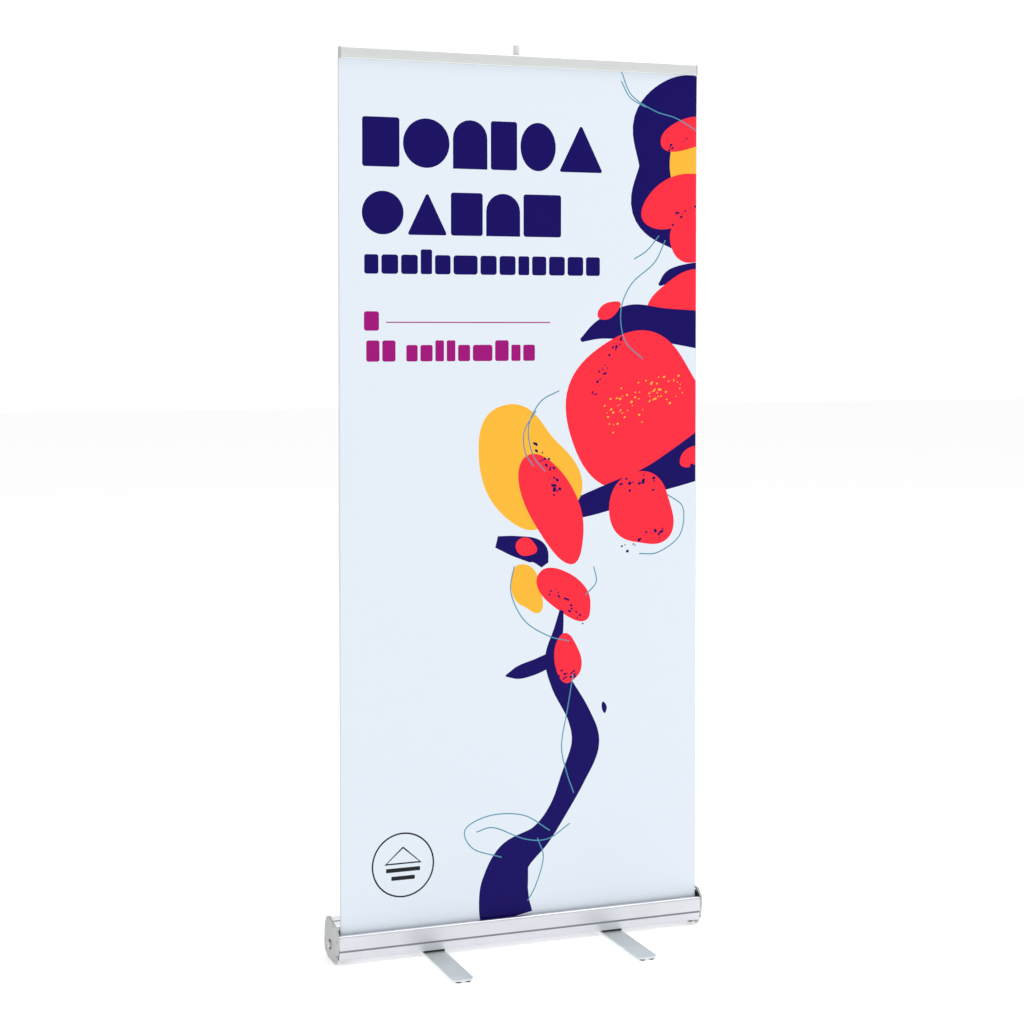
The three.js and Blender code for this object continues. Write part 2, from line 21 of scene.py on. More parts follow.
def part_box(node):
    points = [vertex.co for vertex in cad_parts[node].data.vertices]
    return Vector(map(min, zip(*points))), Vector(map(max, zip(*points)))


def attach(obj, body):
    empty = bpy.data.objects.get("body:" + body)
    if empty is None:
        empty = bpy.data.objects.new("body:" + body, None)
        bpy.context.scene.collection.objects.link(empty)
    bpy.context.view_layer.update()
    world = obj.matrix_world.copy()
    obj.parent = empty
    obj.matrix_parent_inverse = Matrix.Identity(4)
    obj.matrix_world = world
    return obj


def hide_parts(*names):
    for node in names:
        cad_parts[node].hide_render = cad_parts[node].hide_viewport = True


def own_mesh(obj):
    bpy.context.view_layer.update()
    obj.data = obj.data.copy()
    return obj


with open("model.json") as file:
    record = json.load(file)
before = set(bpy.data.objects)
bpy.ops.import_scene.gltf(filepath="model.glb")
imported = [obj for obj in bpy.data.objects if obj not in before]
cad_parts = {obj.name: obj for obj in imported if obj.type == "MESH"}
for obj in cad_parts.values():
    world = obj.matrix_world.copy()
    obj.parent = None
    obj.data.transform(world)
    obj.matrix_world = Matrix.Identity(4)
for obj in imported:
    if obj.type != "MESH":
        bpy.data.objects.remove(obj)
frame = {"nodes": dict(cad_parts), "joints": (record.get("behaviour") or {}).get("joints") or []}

log = logging.getLogger("banner_stand")

Array = np.ndarray
Corner = tuple[float, ...]
MM = 0.001
SIDES = {"left": -1, "right": 1}

# The plane of the hanging film, from which the stand's depths are measured.
FILM_Y = 4.75


# ---------------------------------------------------------------- shapes

def rounded(corners: Sequence[Corner], closed: bool = True, steps: int = 6) -> Array:
    """Rounds the corners of an outline.

    A corner (u, v, r) becomes an arc of radius r that touches both of its
    sides. The arc's centre lies on the line that halves the corner, r / sin of
    half the corner's angle away, and its points turn evenly about it.

    Args:
        corners: The corners in order, each (u, v) or (u, v, r).
        closed: Whether the last corner joins the first.
        steps: How many straight pieces make an arc.

    Returns:
        The points of the line, one (u, v) to a row.
    """
    parts = []
    for i, corner in enumerate(corners):
        here = np.array(corner[:2], float)
        radius = corner[2] if len(corner) > 2 else 0.0
        if radius == 0 or (not closed and i in (0, len(corners) - 1)):
            parts.append(here[None])
            continue
        back = np.array(corners[i - 1][:2]) - here
        ahead = np.array(corners[(i + 1) % len(corners)][:2]) - here
        back, ahead = back / np.linalg.norm(back), ahead / np.linalg.norm(ahead)
        half = np.arccos(np.clip(back @ ahead, -1, 1)) / 2
        middle = here + (back + ahead) / np.linalg.norm(back + ahead) * radius / np.sin(half)
        first, last = (here + side * radius / np.tan(half) - middle for side in (back, ahead))
        start = np.arctan2(first[1], first[0])
        sweep = (np.arctan2(last[1], last[0]) - start + np.pi) % (2 * np.pi) - np.pi
        angle = start + sweep * np.linspace(0, 1, steps + 1)
        parts.append(middle + radius * np.stack([np.cos(angle), np.sin(angle)], -1))
    return np.concatenate(parts)


def rounded_bar(low: float, high: float, half_width: float, radius: float, inset: float) -> Array:
    """Gives a flat bar's outline from low to high, anticlockwise and drawn in by an inset."""
    u, a, b, r = half_width - inset, low + inset, high - inset, radius - inset
    return rounded([(-u, a, r), (u, a, r), (u, b, r), (-u, b, r)], steps=10)


def grid_faces(rows: int, columns: int, closed_rows: bool, closed_columns: bool) -> Array:
    """Numbers the quads of a grid of points.

    Point (i, j) has the number i * columns + j, and a quad joins it to the
    next in its row and to the same two in the next row.

    Args:
        rows: How many rows of points.
        columns: How many points to a row.
        closed_rows: Whether the last row joins the first.
        closed_columns: Whether each row is a ring.

    Returns:
        Four point numbers to a row, one row to a quad.
    """
    i = np.arange(rows if closed_rows else rows - 1)[:, None]
    j = np.arange(columns if closed_columns else columns - 1)[None, :]
    below, above = i * columns, (i + 1) % rows * columns
    ahead = (j + 1) % columns
    return np.stack([below + j, below + ahead, above + ahead, above + j], -1).reshape(-1, 4)


def piece(name: str, points: Array, faces: Sequence[Sequence[int]], sharp: float = 38.0) -> bpy.types.Object:
    """Makes a piece from points in millimetres.

    Args:
        name: The piece's name.
        points: Its points, one (x, y, z) to a row.
        faces: The point numbers of each face, anticlockwise from outside.
        sharp: The angle in degrees between faces from which an edge is sharp.

    Returns:
        The new object, at the origin.
    """
    mesh = bpy.data.meshes.new(name)
    mesh.from_pydata((points * MM).tolist(), [], [list(f) for f in faces])
    mesh.polygons.foreach_set("use_smooth", np.ones(len(mesh.polygons), bool))
    mesh.set_sharp_from_angle(angle=math.radians(sharp))
    mesh.update()
    made = bpy.data.objects.new(name, mesh)
    bpy.context.scene.collection.objects.link(made)
    return made


def welded(points: Array, faces: Array) -> tuple[Array, list[list[int]]]:
    """Joins points that coincide, as at a pole, and drops faces left flat.

    Args:
        points: The points, one to a row.
        faces: The quads.

    Returns:
        The points without doubles, and the faces that still have an area.
    """
    _, kept, number = np.unique(np.round(points, 5), axis=0, return_index=True, return_inverse=True)
    renamed = number.reshape(-1)[faces]
    slim = [list(dict.fromkeys(f)) for f in renamed.tolist()]
    return points[kept], [f for f in slim if len(f) > 2]


def carried(name: str, section: Array, start: float, end: float) -> bpy.types.Object:
    """Carries a (depth, up) section along x from start to end and closes its ends.

    Args:
        name: The piece's name.
        section: The section's points, anticlockwise seen from +x.
        start: Where it starts.
        end: Where it ends.

    Returns:
        The new piece.
    """
    count = len(section)
    rows = [np.column_stack([np.full(count, x), section]) for x in (start, end)]
    faces = grid_faces(2, count, False, True).tolist()
    faces += [list(range(count))[::-1], list(range(count, 2 * count))]
    return piece(name, np.concatenate(rows), faces)


@dataclass(frozen=True)
class Axis:
    """A line that things turn about.

    Attributes:
        origin: A point on the line, in millimetres.
        along: Its direction.
        aside: A direction square to it, where turning starts.
    """

    origin: tuple[float, float, float]
    along: tuple[float, float, float] = (0.0, 0.0, 1.0)
    aside: tuple[float, float, float] = (1.0, 0.0, 0.0)

    def place(self, radius: Array, height: Array, angle: Array) -> Array:
        """Gives points at a radius from the axis, a height along it and a turn about it.

        Args:
            radius: The radii.
            height: The heights.
            angle: The turns from the side direction, in radians.

        Returns:
            The points, (x, y, z) in the last place.
        """
        along = np.array(self.along) / np.linalg.norm(self.along)
        aside = np.array(self.aside, float)
        across = np.cross(along, aside)
        parts = [(radius * np.cos(angle), aside), (radius * np.sin(angle), across),
                 (height + 0 * angle, along)]
        return np.array(self.origin) + sum(size[..., None] * way for size, way in parts)

    def turned(self, name: str, profile: Array, closed: bool = False, segments: int = 48) -> bpy.types.Object:
        """Turns a profile about the axis.

        Point (i, j) stands at the i-th radius and height, turned by j parts
        of a full circle. The profile's outer side runs up the axis.

        Args:
            name: The piece's name.
            profile: One (radius, height) to a row.
            closed: Whether the profile is a loop, as a tube's is.
            segments: How many steps make the circle.

        Returns:
            The new piece.
        """
        angle = np.linspace(0, 2 * np.pi, segments, endpoint=False)[None, :]
        grid = self.place(profile[:, :1], profile[:, 1:], angle)
        faces = grid_faces(len(profile), segments, closed, True)
        return piece(name, *welded(grid.reshape(-1, 3), faces))


# ---------------------------------------------------------------- finishes

def linear(code: str) -> tuple[float, ...]:
    """Turns an sRGB hex colour of six digits into linear red, green, blue and alpha."""
    shares = [int(code[i:i + 2], 16) / 255 for i in (0, 2, 4)]
    return *(s / 12.92 if s <= 0.04045 else ((s + 0.055) / 1.055) ** 2.4 for s in shares), 1.0


def add_node(
    tree: bpy.types.NodeTree,
    kind: str,
    settings: dict | None = None,
    values: dict | None = None,
    links: dict | None = None,
) -> bpy.types.Node:
    """Adds a node with its settings, its sockets' values and its links.

    Args:
        tree: The node tree.
        kind: The node's type.
        settings: Properties of the node by name.
        values: Values of its input sockets by name or number.
        links: Output sockets that feed its input sockets, by name or number.

    Returns:
        The node.
    """
    node = tree.nodes.new(kind)
    for name, value in (settings or {}).items():
        setattr(node, name, value)
    for name, value in (values or {}).items():
        node.inputs[name].default_value = value
    for name, output in (links or {}).items():
        tree.links.new(output, node.inputs[name])
    return node


# Noise runs from 0 to 1 but seldom leaves these spans, so a finish's whole
# range of roughness, and of colour, is drawn over them.
MARK_SPAN = (0.3, 0.7)
PATCH_SPAN = (0.35, 0.65)


class Grain(Enum):
    """The texture that draws a finish's finest marks."""

    CLOUD = "ShaderNodeTexNoise"
    CELL = "ShaderNodeTexVoronoi"


@dataclass(frozen=True)
class Finish:
    """A surface: what it is made of and how it was made.

    Attributes:
        name: The material's name.
        colour: Its sRGB colour.
        drift: The sRGB colour it wanders to in soft patches, or the same.
        roughness: Its least and greatest roughness.
        metallic: 1 for bare metal.
        ior: Its index of refraction, for what isn't metal.
        specular: The strength of its plain reflection.
        grain: The texture of its finest marks.
        grain_mm: The size of one mark.
        stretch: How often a mark repeats along x, y and z, as a share.
        relief_mm: How high a mark stands.
        drift_mm: The size of a soft patch.
        sheen: The weight of a soft edge glow, for cloth.
    """

    name: str
    colour: str
    drift: str
    roughness: tuple[float, float]
    metallic: float = 0.0
    ior: float = 1.5
    specular: float = 0.5
    grain: Grain = Grain.CLOUD
    grain_mm: float = 1.0
    stretch: tuple[float, float, float] = (1.0, 1.0, 1.0)
    relief_mm: float = 0.02
    drift_mm: float = 90.0
    sheen: float = 0.0

    def material(self) -> bpy.types.Material:
        """Makes the material once and gives it again after that.

        Returns:
            The material, drawn on object coordinates.
        """
        if self.name in bpy.data.materials:
            return bpy.data.materials[self.name]
        made = bpy.data.materials.new(self.name)
        made.use_nodes = True
        tree = made.node_tree
        tree.nodes.clear()
        place = add_node(tree, "ShaderNodeTexCoord").outputs["Object"]
        patch_scale, mark_scale = 1 / (self.drift_mm * MM), 1 / (self.grain_mm * MM)
        patches = add_node(tree, "ShaderNodeTexNoise", {}, {"Scale": patch_scale, "Detail": 3.0},
                           {"Vector": place}).outputs[0]
        marks_at = add_node(tree, "ShaderNodeMapping", {}, {"Scale": self.stretch}, {"Vector": place})
        marks = add_node(tree, self.grain.value, {}, {"Scale": mark_scale},
                         {"Vector": marks_at.outputs[0]}).outputs[0]
        half = add_node(tree, "ShaderNodeMath", {"operation": "MULTIPLY"}, {1: 0.5}, {0: patches})
        both = add_node(tree, "ShaderNodeMath", {"operation": "MULTIPLY_ADD"}, {1: 0.5},
                        {0: marks, 2: half.outputs[0]})
        (low, high), (least, most) = self.roughness, MARK_SPAN
        rough = add_node(tree, "ShaderNodeMapRange", {}, {1: least, 2: most, 3: low, 4: high},
                         {0: both.outputs[0]})
        relief = add_node(tree, "ShaderNodeBump", values={"Strength": 1.0, "Distance": self.relief_mm * MM},
                          links={"Height": marks})
        shader = add_node(
            tree, "ShaderNodeBsdfPrincipled",
            values={"Base Color": linear(self.colour), "Metallic": self.metallic, "Sheen Weight": self.sheen,
                    "Specular IOR Level": self.specular, **({} if self.metallic == 1 else {"IOR": self.ior})},
            links={"Roughness": rough.outputs[0], "Normal": relief.outputs[0]},
        )
        if self.drift != self.colour:
            least, most = PATCH_SPAN
            soft = add_node(tree, "ShaderNodeMapRange", {}, {1: least, 2: most}, {0: patches})
            mixed = add_node(tree, "ShaderNodeMix", {"data_type": "RGBA"},
                             {6: linear(self.colour), 7: linear(self.drift)}, {0: soft.outputs[0]})
            tree.links.new(mixed.outputs[2], shader.inputs["Base Color"])
        add_node(tree, "ShaderNodeOutputMaterial", links={"Surface": shader.outputs[0]})
        return made


# Die lines run the length of an extrusion. They are 0.1 mm apart on the real
# thing and drawn at 0.6 mm, and a repeat along the length is 1/80 as frequent.
ALONG_X = (1 / 80, 1.0, 1.0)
ALONG_Z = (1.0, 1.0, 1 / 80)

# Anodised 6063 aluminium, extruded and satin etched: a pale silver whose
# highlights are soft and drawn out along the profile.
SATIN_ALUMINIUM = Finish("satin_anodised_aluminium", "D9DADF", "D5D6DB", (0.34, 0.42), metallic=1.0,
                         grain_mm=0.6, stretch=ALONG_X, relief_mm=0.006)
# The same alloy with a slightly warmer tint on the rail, drawn much lighter than on the base so that the
# rail's face, which mirrors dimmer surroundings, shows as light: painted light.
RAIL_ALUMINIUM_PAINTED_LIGHT = Finish("satin_anodised_rail_painted_light", "F1F4F2", "ECEFED", (0.36, 0.46), metallic=1.0,
                        grain_mm=0.6, stretch=ALONG_X, relief_mm=0.006)
# Drawn aluminium tube, satin anodised: fine lines along the pole.
POLE_ALUMINIUM = Finish("drawn_anodised_tube", "D6D8DB", "CFD1D5", (0.30, 0.40), metallic=1.0,
                        grain_mm=0.6, stretch=ALONG_Z, relief_mm=0.005)
# Mill-finish aluminium tube, with the faint bloom of bare metal.
MILL_ALUMINIUM = Finish("mill_finish_aluminium", "C9CBCF", "BFC2C7", (0.34, 0.50), metallic=1.0,
                        grain_mm=0.6, stretch=ALONG_X, relief_mm=0.008, drift_mm=60)
# Steel strip under silver polyester powder: a soft metallic sparkle and the
# orange peel of a baked powder, waves about 2 mm long.
SILVER_POWDER_COAT = Finish("silver_powder_coated_steel", "E2E8E8", "DCE2E3", (0.40, 0.50), metallic=0.7,
                            grain_mm=2.0, relief_mm=0.03)
# ABS moulded against a spark-eroded tool: an even light grey with a fine
# matt grain, 0.3 mm on the real thing and drawn at 0.7 mm.
GREY_ABS = Finish("moulded_grey_abs", "C0C2C2", "B9BBBC", (0.48, 0.60), ior=1.54, grain_mm=0.7,
                  relief_mm=0.015)
# Glass-filled nylon, moulded black: dull, slightly mottled.
BLACK_NYLON = Finish("moulded_black_nylon", "17181A", "1D1E20", (0.48, 0.62), ior=1.53, grain_mm=0.8,
                     relief_mm=0.02)
# Natural polypropylene, moulded: milky and waxy, a little glossy.
NATURAL_POLYPROPYLENE = Finish("moulded_natural_polypropylene", "E9EBE7", "E2E5E1", (0.26, 0.36), ior=1.49,
                               grain_mm=1.2, relief_mm=0.01, drift_mm=30)
# Zinc plate with yellow passivation: pale straw with a faint bloom.
ZINC_PLATE = Finish("yellow_passivated_zinc_plate", "DEDAC2", "D6D2BC", (0.28, 0.42), metallic=1.0,
                    grain_mm=0.5, relief_mm=0.006, drift_mm=8)
# Bright zinc-plated screws, tumbled: small soft scratches.
SCREW_STEEL = Finish("bright_plated_screw_steel", "A9ABAF", "9C9EA3", (0.28, 0.42), metallic=1.0,
                     grain_mm=0.5, relief_mm=0.006, drift_mm=8)
# Cast nylon, left ivory: a smooth, slightly waxy off-white.
IVORY_NYLON = Finish("moulded_ivory_nylon", "EFEDDE", "E8E6D6", (0.30, 0.40), ior=1.53, grain_mm=1.0,
                     relief_mm=0.01, drift_mm=10)
# Hard-drawn spring wire with an oil film: dark and streaky.
SPRING_STEEL = Finish("drawn_spring_wire", "74777E", "666970", (0.30, 0.46), metallic=1.0, grain_mm=0.5,
                      relief_mm=0.008, drift_mm=12)
# Nitrile rubber, moulded: matt black with a dusty bloom.
BLACK_RUBBER = Finish("moulded_black_rubber", "1A1A1B", "232324", (0.72, 0.86), ior=1.52, grain_mm=0.6,
                      relief_mm=0.03, drift_mm=6)
# Soft PVC strip, extruded: a dull mid grey. It fills the groove under the front panel so that the groove
# shows dark: painted shade.
GROOVE_SHADE_PVC = Finish("extruded_grey_pvc_groove_shade", "8F9197", "898B91", (0.60, 0.72), ior=1.53, grain_mm=0.6,
                  stretch=ALONG_X, relief_mm=0.01)
# Opal acrylic, sanded matt: an even milky white that light comes up through.
OPAL_ACRYLIC = Finish("opal_acrylic_light_table", "F6F6F6", "F6F6F6", (0.85, 0.95), specular=0.1,
                      grain_mm=2.0, relief_mm=0.01, drift_mm=900)
# Braided elastic cord: a dark weave, its strands 0.6 mm apart.
ELASTIC_BRAID = Finish("braided_elastic_cord", "222223", "2B2B2C", (0.75, 0.90), grain=Grain.CELL,
                       grain_mm=0.6, relief_mm=0.10, drift_mm=10, sheen=0.3)


def film_finish(name: str, colour: str, roughness: tuple[float, float] = (0.42, 0.50)) -> Finish:
    """Gives one colour of the print: even solvent ink under a satin laminate."""
    # The laminate's grain is 0.1 mm on the real thing and drawn at 1.2 mm.
    return Finish(f"satin_printed_film_{name}", colour, colour, roughness, ior=1.49, specular=0.12,
                  grain_mm=1.2, relief_mm=0.004)


class Ink(IntEnum):
    """The colours on the film, numbered as its material slots are."""

    FIELD = 0
    NAVY = 1
    RED = 2
    AMBER = 3
    TEAL = 4
    MAGENTA = 5
    BLACK = 6
    MARGIN = 7
    BACK = 8


INK_FINISHES = {
    Ink.FIELD: film_finish("pale_blue", "E6EFF8"),
    Ink.NAVY: film_finish("navy", "100061"),
    Ink.RED: film_finish("coral_red", "FD2E42"),
    Ink.AMBER: film_finish("amber", "FEBD3A"),
    Ink.TEAL: film_finish("teal", "4F93AE"),
    Ink.MAGENTA: film_finish("magenta", "A20E7B"),
    Ink.BLACK: film_finish("black", "23252B"),
    # A darker grey strip runs beside each cut edge and over the cut edge itself.
    Ink.MARGIN: film_finish("grey_edge_strip", "D3D8DE"),
    # The back is a grey block-out layer, duller than the face.
    Ink.BACK: film_finish("grey_block_out_back", "C3C6CA", (0.55, 0.68)),
}


# ---------------------------------------------------------------- the print

@dataclass(frozen=True)
class Blob:
    """A smooth closed patch of ink.

    Attributes:
        ink: Its colour.
        centre: Millimetres right of the film's middle line and above the floor.
        size: Its length and breadth.
        turn: Degrees from level, anticlockwise.
        swell: How strong each wave of its outline is, from two waves up.
        phase: Where its waves start, in degrees.
        points: How many points draw it.
    """

    ink: Ink
    centre: tuple[float, float]
    size: tuple[float, float]
    turn: float = 0.0
    swell: tuple[float, ...] = (0.0, 0.05, 0.03)
    phase: float = 0.0
    points: int = 72

    def outline(self) -> Array:
        """Works out the outline.

        The radius is 1 plus a cosine wave for each swell, two waves to the
        turn for the first and one more for each after it. The shape is then
        stretched to its size, turned and moved.

        Returns:
            The outline's points, anticlockwise.
        """
        angle = np.linspace(0, 2 * np.pi, self.points, endpoint=False)
        waves = np.arange(2, 2 + len(self.swell))
        lag = np.radians(self.phase) * waves
        radius = 1 + (np.array(self.swell)[:, None] * np.cos(waves[:, None] * angle + lag[:, None])).sum(0)
        u, v = radius * np.cos(angle) * self.size[0] / 2, radius * np.sin(angle) * self.size[1] / 2
        c, s = math.cos(math.radians(self.turn)), math.sin(math.radians(self.turn))
        return np.stack([self.centre[0] + c * u - s * v, self.centre[1] + s * u + c * v], -1)


@dataclass(frozen=True)
class Ribbon:
    """A band of ink that follows a smooth line and changes its width.

    Attributes:
        ink: Its colour.
        stations: Points of its middle line, each (across, up, width).
        steps: How many pieces join two stations.
        finest: The least width.
    """

    ink: Ink
    stations: tuple[tuple[float, float, float], ...]
    steps: int = 10
    finest: float = 0.4

    def outline(self) -> Array:
        """Works out the outline.

        Between two stations the line is a cubic that passes through both and
        leaves each parallel to the line between its neighbours. The two edges
        run half a width to either side, square to the line.

        Returns:
            The outline's points, up one edge and back down the other.
        """
        knots = np.array(self.stations, float)
        knots = np.concatenate([2 * knots[:1] - knots[1:2], knots, 2 * knots[-1:] - knots[-2:-1]])
        t = np.linspace(0, 1, self.steps, endpoint=False)[None, :, None]
        a, b, c, d = (knots[i:len(knots) - 3 + i, None] for i in range(4))
        square, cube = (2 * a - 5 * b + 4 * c - d) * t**2, (3 * b - a - 3 * c + d) * t**3
        line = 0.5 * (2 * b + (c - a) * t + square + cube)
        line = np.concatenate([line.reshape(-1, 3), knots[-2:-1]])
        way = np.gradient(line[:, :2], axis=0)
        way /= np.linalg.norm(way, axis=1, keepdims=True)
        aside = np.stack([-way[:, 1], way[:, 0]], -1) * np.maximum(line[:, 2:], self.finest) / 2
        return np.concatenate([line[:, :2] - aside, (line[:, :2] + aside)[::-1]])


@dataclass(frozen=True)
class Panel:
    """A patch of ink with straight sides.

    Attributes:
        ink: Its colour.
        corners: Its corners, each (across, up) or (across, up, radius).
    """

    ink: Ink
    corners: tuple[Corner, ...]

    def outline(self) -> Array:
        """Gives the outline with its corners rounded."""
        return rounded(self.corners)


Patch = Blob | Ribbon | Panel


def bar(ink: Ink, left: float, right: float, low: float, high: float, radius: float = 0.0) -> Panel:
    """Gives a level bar of ink between four sides, its corners rounded to a radius."""
    corners = ((left, low), (right, low), (right, high), (left, high))
    return Panel(ink, tuple((x, z, radius) for x, z in corners))


def speckles(ink: Ink, middle: tuple[float, float], reach: tuple[float, float], turn: float,
             count: int, size: float, seed: int) -> list[Patch]:
    """Scatters small specks along a curved band.

    Each speck sits near an arc: its distance along is even and random, and its
    distance aside is normal with a spread of 0.22 of the reach. The arc bows
    by 0.8 times the square of the distance along.

    Args:
        ink: Their colour.
        middle: The middle of the band.
        reach: How far the band goes along and aside.
        turn: The band's turn from level, in degrees.
        count: How many specks.
        size: The length of the largest.
        seed: The seed of the scatter.

    Returns:
        The specks.
    """
    spread, bow, smallest, flattest, roundest, lean, points = 0.22, 0.8, 0.35, 0.5, 0.9, 12.0, 10
    rng = np.random.default_rng(seed)
    along = rng.uniform(-0.5, 0.5, count)
    aside = rng.normal(0, spread, count) - bow * along**2
    big = size * rng.uniform(smallest, 1.0, count)
    c, s = math.cos(math.radians(turn)), math.sin(math.radians(turn))
    x = middle[0] + c * along * reach[0] - s * aside * reach[1]
    z = middle[1] + s * along * reach[0] + c * aside * reach[1]
    slim = big * rng.uniform(flattest, roundest, count)
    rows = np.stack([x, z, big, slim], -1).tolist()
    return [Blob(ink, (a, b), (c, d), turn + lean, (0.0,), points=points) for a, b, c, d in rows]


def greeked_line(ink: Ink, left: float, low: float, widths: Sequence[float], height: float, gap: float,
                 tall: Sequence[int] = (), rise: float = 0.0) -> list[Patch]:
    """Stands plain rounded blocks in a row where a line of text would be.

    Args:
        ink: Their colour.
        left: Where the row starts.
        low: The row's lower side.
        widths: The width of each block in turn, or a negative one for a space.
        height: Their height.
        gap: The gap between two blocks.
        tall: Which blocks stand taller.
        rise: How much taller.

    Returns:
        The blocks.
    """
    made, x, corner = [], left, 0.16
    for i, width in enumerate(widths):
        if width > 0:
            top = low + height + (rise if i in tall else 0.0)
            made.append(bar(ink, x, x + width, low, top, min(width, height) * corner))
        x += abs(width) + gap
    return made


class Figure(Enum):
    """The plain solid figures of the heading."""

    DISC = "disc"
    BLOCK = "block"
    ARCH = "arch"
    WEDGE = "wedge"


def heading() -> list[Patch]:
    """Composes two rows of plain solid figures where a heading would stand.

    Returns:
        Squares, discs, arches and triangles in navy.
    """
    rows: list[Patch] = []
    disc, block, arch, wedge = Figure
    gap, soft, tip, play = 8, 6, 4, 0.01
    for low, high, left, figures in (
        (1728, 1835, -371, ((block, 84), (disc, 106), (arch, 80), (block, 62), (disc, 84), (wedge, 106))),
        (1582, 1676, -372, ((disc, 94), (wedge, 92), (block, 74), (arch, 80), (block, 90))),
    ):
        for figure, width in figures:
            right, middle = left + width, left + width / 2
            if figure is disc:
                size = (width, high - low)
                rows.append(Blob(Ink.NAVY, (middle, (low + high) / 2), size, swell=(0.0,)))
            elif figure is wedge:
                corners = ((left, low, tip), (right, low, tip), (middle, high, tip))
                rows.append(Panel(Ink.NAVY, corners))
            elif figure is arch:
                top = width / 2 - play
                corners = ((left, low), (right, low), (right, high, top), (left, high, top))
                rows.append(Panel(Ink.NAVY, corners))
            else:
                rows.append(bar(Ink.NAVY, left, right, low, high, soft))
            left = right + gap
    return rows


def captions() -> list[Patch]:
    """Composes the smaller rows, the thin rule and the round mark.

    The mark is a ring round a triangle and two bars. Each of its hollows is a
    patch of the field's ink over a patch of black.

    Returns:
        Rows of blocks in navy and magenta, and the mark in black.
    """
    subtitle = (32, 38, 38, 26, 36, 56, 38, 38, 26, 34, 38, 38, 34)
    notice = (30, 30, -12, 26, 28, 20, 20, 28, 46, 32, 22, 28)
    rows = greeked_line(Ink.NAVY, -367, 1497, subtitle, 42, 6.6, (3,), 12)
    rows += greeked_line(Ink.MAGENTA, -368, 1374, (34,), 42, 0)
    rows += [bar(Ink.MAGENTA, -318, 64, 1391, 1393.4)]
    rows += greeked_line(Ink.MAGENTA, -363, 1307, notice, 36, 6.2, (0, 1, 5, 6, 9), 10)
    centre, radius, line = (-282.0, 205.0), 71.5, 3.6
    for size, ink in ((2 * radius, Ink.BLACK), (2 * (radius - line), Ink.FIELD)):
        rows.append(Blob(ink, centre, (size, size), swell=(0.0,), points=120))
    rows += [Panel(Ink.BLACK, ((-325, 207), (-239, 207), (-282, 246, 3))),
             Panel(Ink.FIELD, ((-318.5, 210.2), (-245.5, 210.2), (-282, 241.6, 2))),
             bar(Ink.BLACK, -321, -243, 190, 199, 2), bar(Ink.BLACK, -309, -255, 172, 181, 2)]
    return rows


def crown() -> list[Patch]:
    """Composes the pebbles and the navy mass at the top right."""
    navy, red, amber = Ink.NAVY, Ink.RED, Ink.AMBER
    return [
        Ribbon(navy, ((470, 1880, 130), (392, 1880, 150), (330, 1838, 130), (345, 1745, 130),
                      (322, 1655, 120), (385, 1600, 90), (470, 1560, 70))),
        Blob(amber, (412, 1742), (112, 176), 8),
        Blob(red, (400, 1822), (140, 70), 18, phase=40),
        Blob(red, (378, 1672), (205, 104), 27, phase=10),
        Ribbon(navy, ((330, 1478, 6), (362, 1498, 34), (420, 1510, 40), (470, 1512, 40))),
        Blob(red, (414, 1584), (110, 118), 60, phase=80),
        Blob(red, (398, 1440), (190, 132), 24, phase=200),
    ]


def boughs() -> list[Patch]:
    """Composes the large pebbles and the bands they sit on, down to the middle."""
    navy, red, amber = Ink.NAVY, Ink.RED, Ink.AMBER
    return [
        Ribbon(navy, ((138, 1352, 8), (190, 1378, 46), (262, 1392, 82), (345, 1386, 78), (470, 1372, 92))),
        Blob(red, (206, 1420), (62, 34), 30),
        Blob(red, (278, 1190), (352, 356), 6, (0.02, 0.05, 0.05), 25),
        Ribbon(navy, ((70, 962, 16), (130, 975, 46), (215, 1000, 60), (300, 1030, 62), (372, 1058, 84),
                      (470, 1100, 120))),
        Blob(red, (414, 1086), (70, 40), 35),
        Blob(red, (288, 968), (158, 172), 20, (0.04, 0.06, 0.03), 60),
        Blob(amber, (6, 1068), (206, 300), 24, (0.06, 0.08, 0.05, 0.03), 30),
        Blob(red, (70, 980), (268, 118), -64, (0.0, 0.05, 0.02), 20),
        Ribbon(navy, ((-64, 906, 26), (-20, 895, 46), (30, 880, 54), (52, 850, 20))),
        Blob(red, (6, 892), (52, 40), -20),
        Blob(amber, (8, 800), (70, 112), 20, (0.05, 0.08, 0.05), 70),
        Blob(red, (100, 784), (160, 84), -40, phase=30),
    ]


def trunk() -> list[Patch]:
    """Composes the winding band that runs down to the base."""
    navy, red = Ink.NAVY, Ink.RED
    return [
        Ribbon(navy, ((92, 746, 10), (84, 700, 24), (70, 640, 36), (92, 580, 50), (134, 506, 56),
                      (150, 440, 68), (120, 366, 60), (84, 296, 46), (40, 240, 54), (-22, 196, 88),
                      (-44, 140, 112), (-46, 95, 120), (-40, 60.5, 124))),
        Ribbon(navy, ((-42, 606, 4), (-10, 612, 30), (34, 624, 34), (72, 640, 30))),
        Blob(red, (106, 636), (64, 112), 8, phase=20),
        Blob(navy, (196, 520), (12, 26), 10, points=24),
    ]


def flecks() -> list[Patch]:
    """Composes the bands of specks on the pebbles."""
    navy, amber = Ink.NAVY, Ink.AMBER
    bands = (
        (navy, (330, 1044), (190, 46), 14, 26, 11, 3),
        (navy, (196, 1295), (150, 30), 62, 20, 8, 5),
        (navy, (398, 1650), (90, 30), 24, 12, 10, 7),
        (navy, (404, 1404), (90, 26), 8, 12, 10, 9),
        (navy, (392, 1806), (90, 20), 24, 10, 8, 11),
        (navy, (292, 900), (110, 26), 20, 16, 9, 13),
        (navy, (60, 1070), (130, 30), -60, 22, 10, 15),
        (navy, (110, 760), (110, 24), -38, 16, 9, 17),
        (navy, (104, 600), (44, 30), 10, 12, 9, 19),
        (amber, (290, 1230), (200, 90), 20, 70, 7, 21),
    )
    return [speck for band in bands for speck in speckles(*band)]


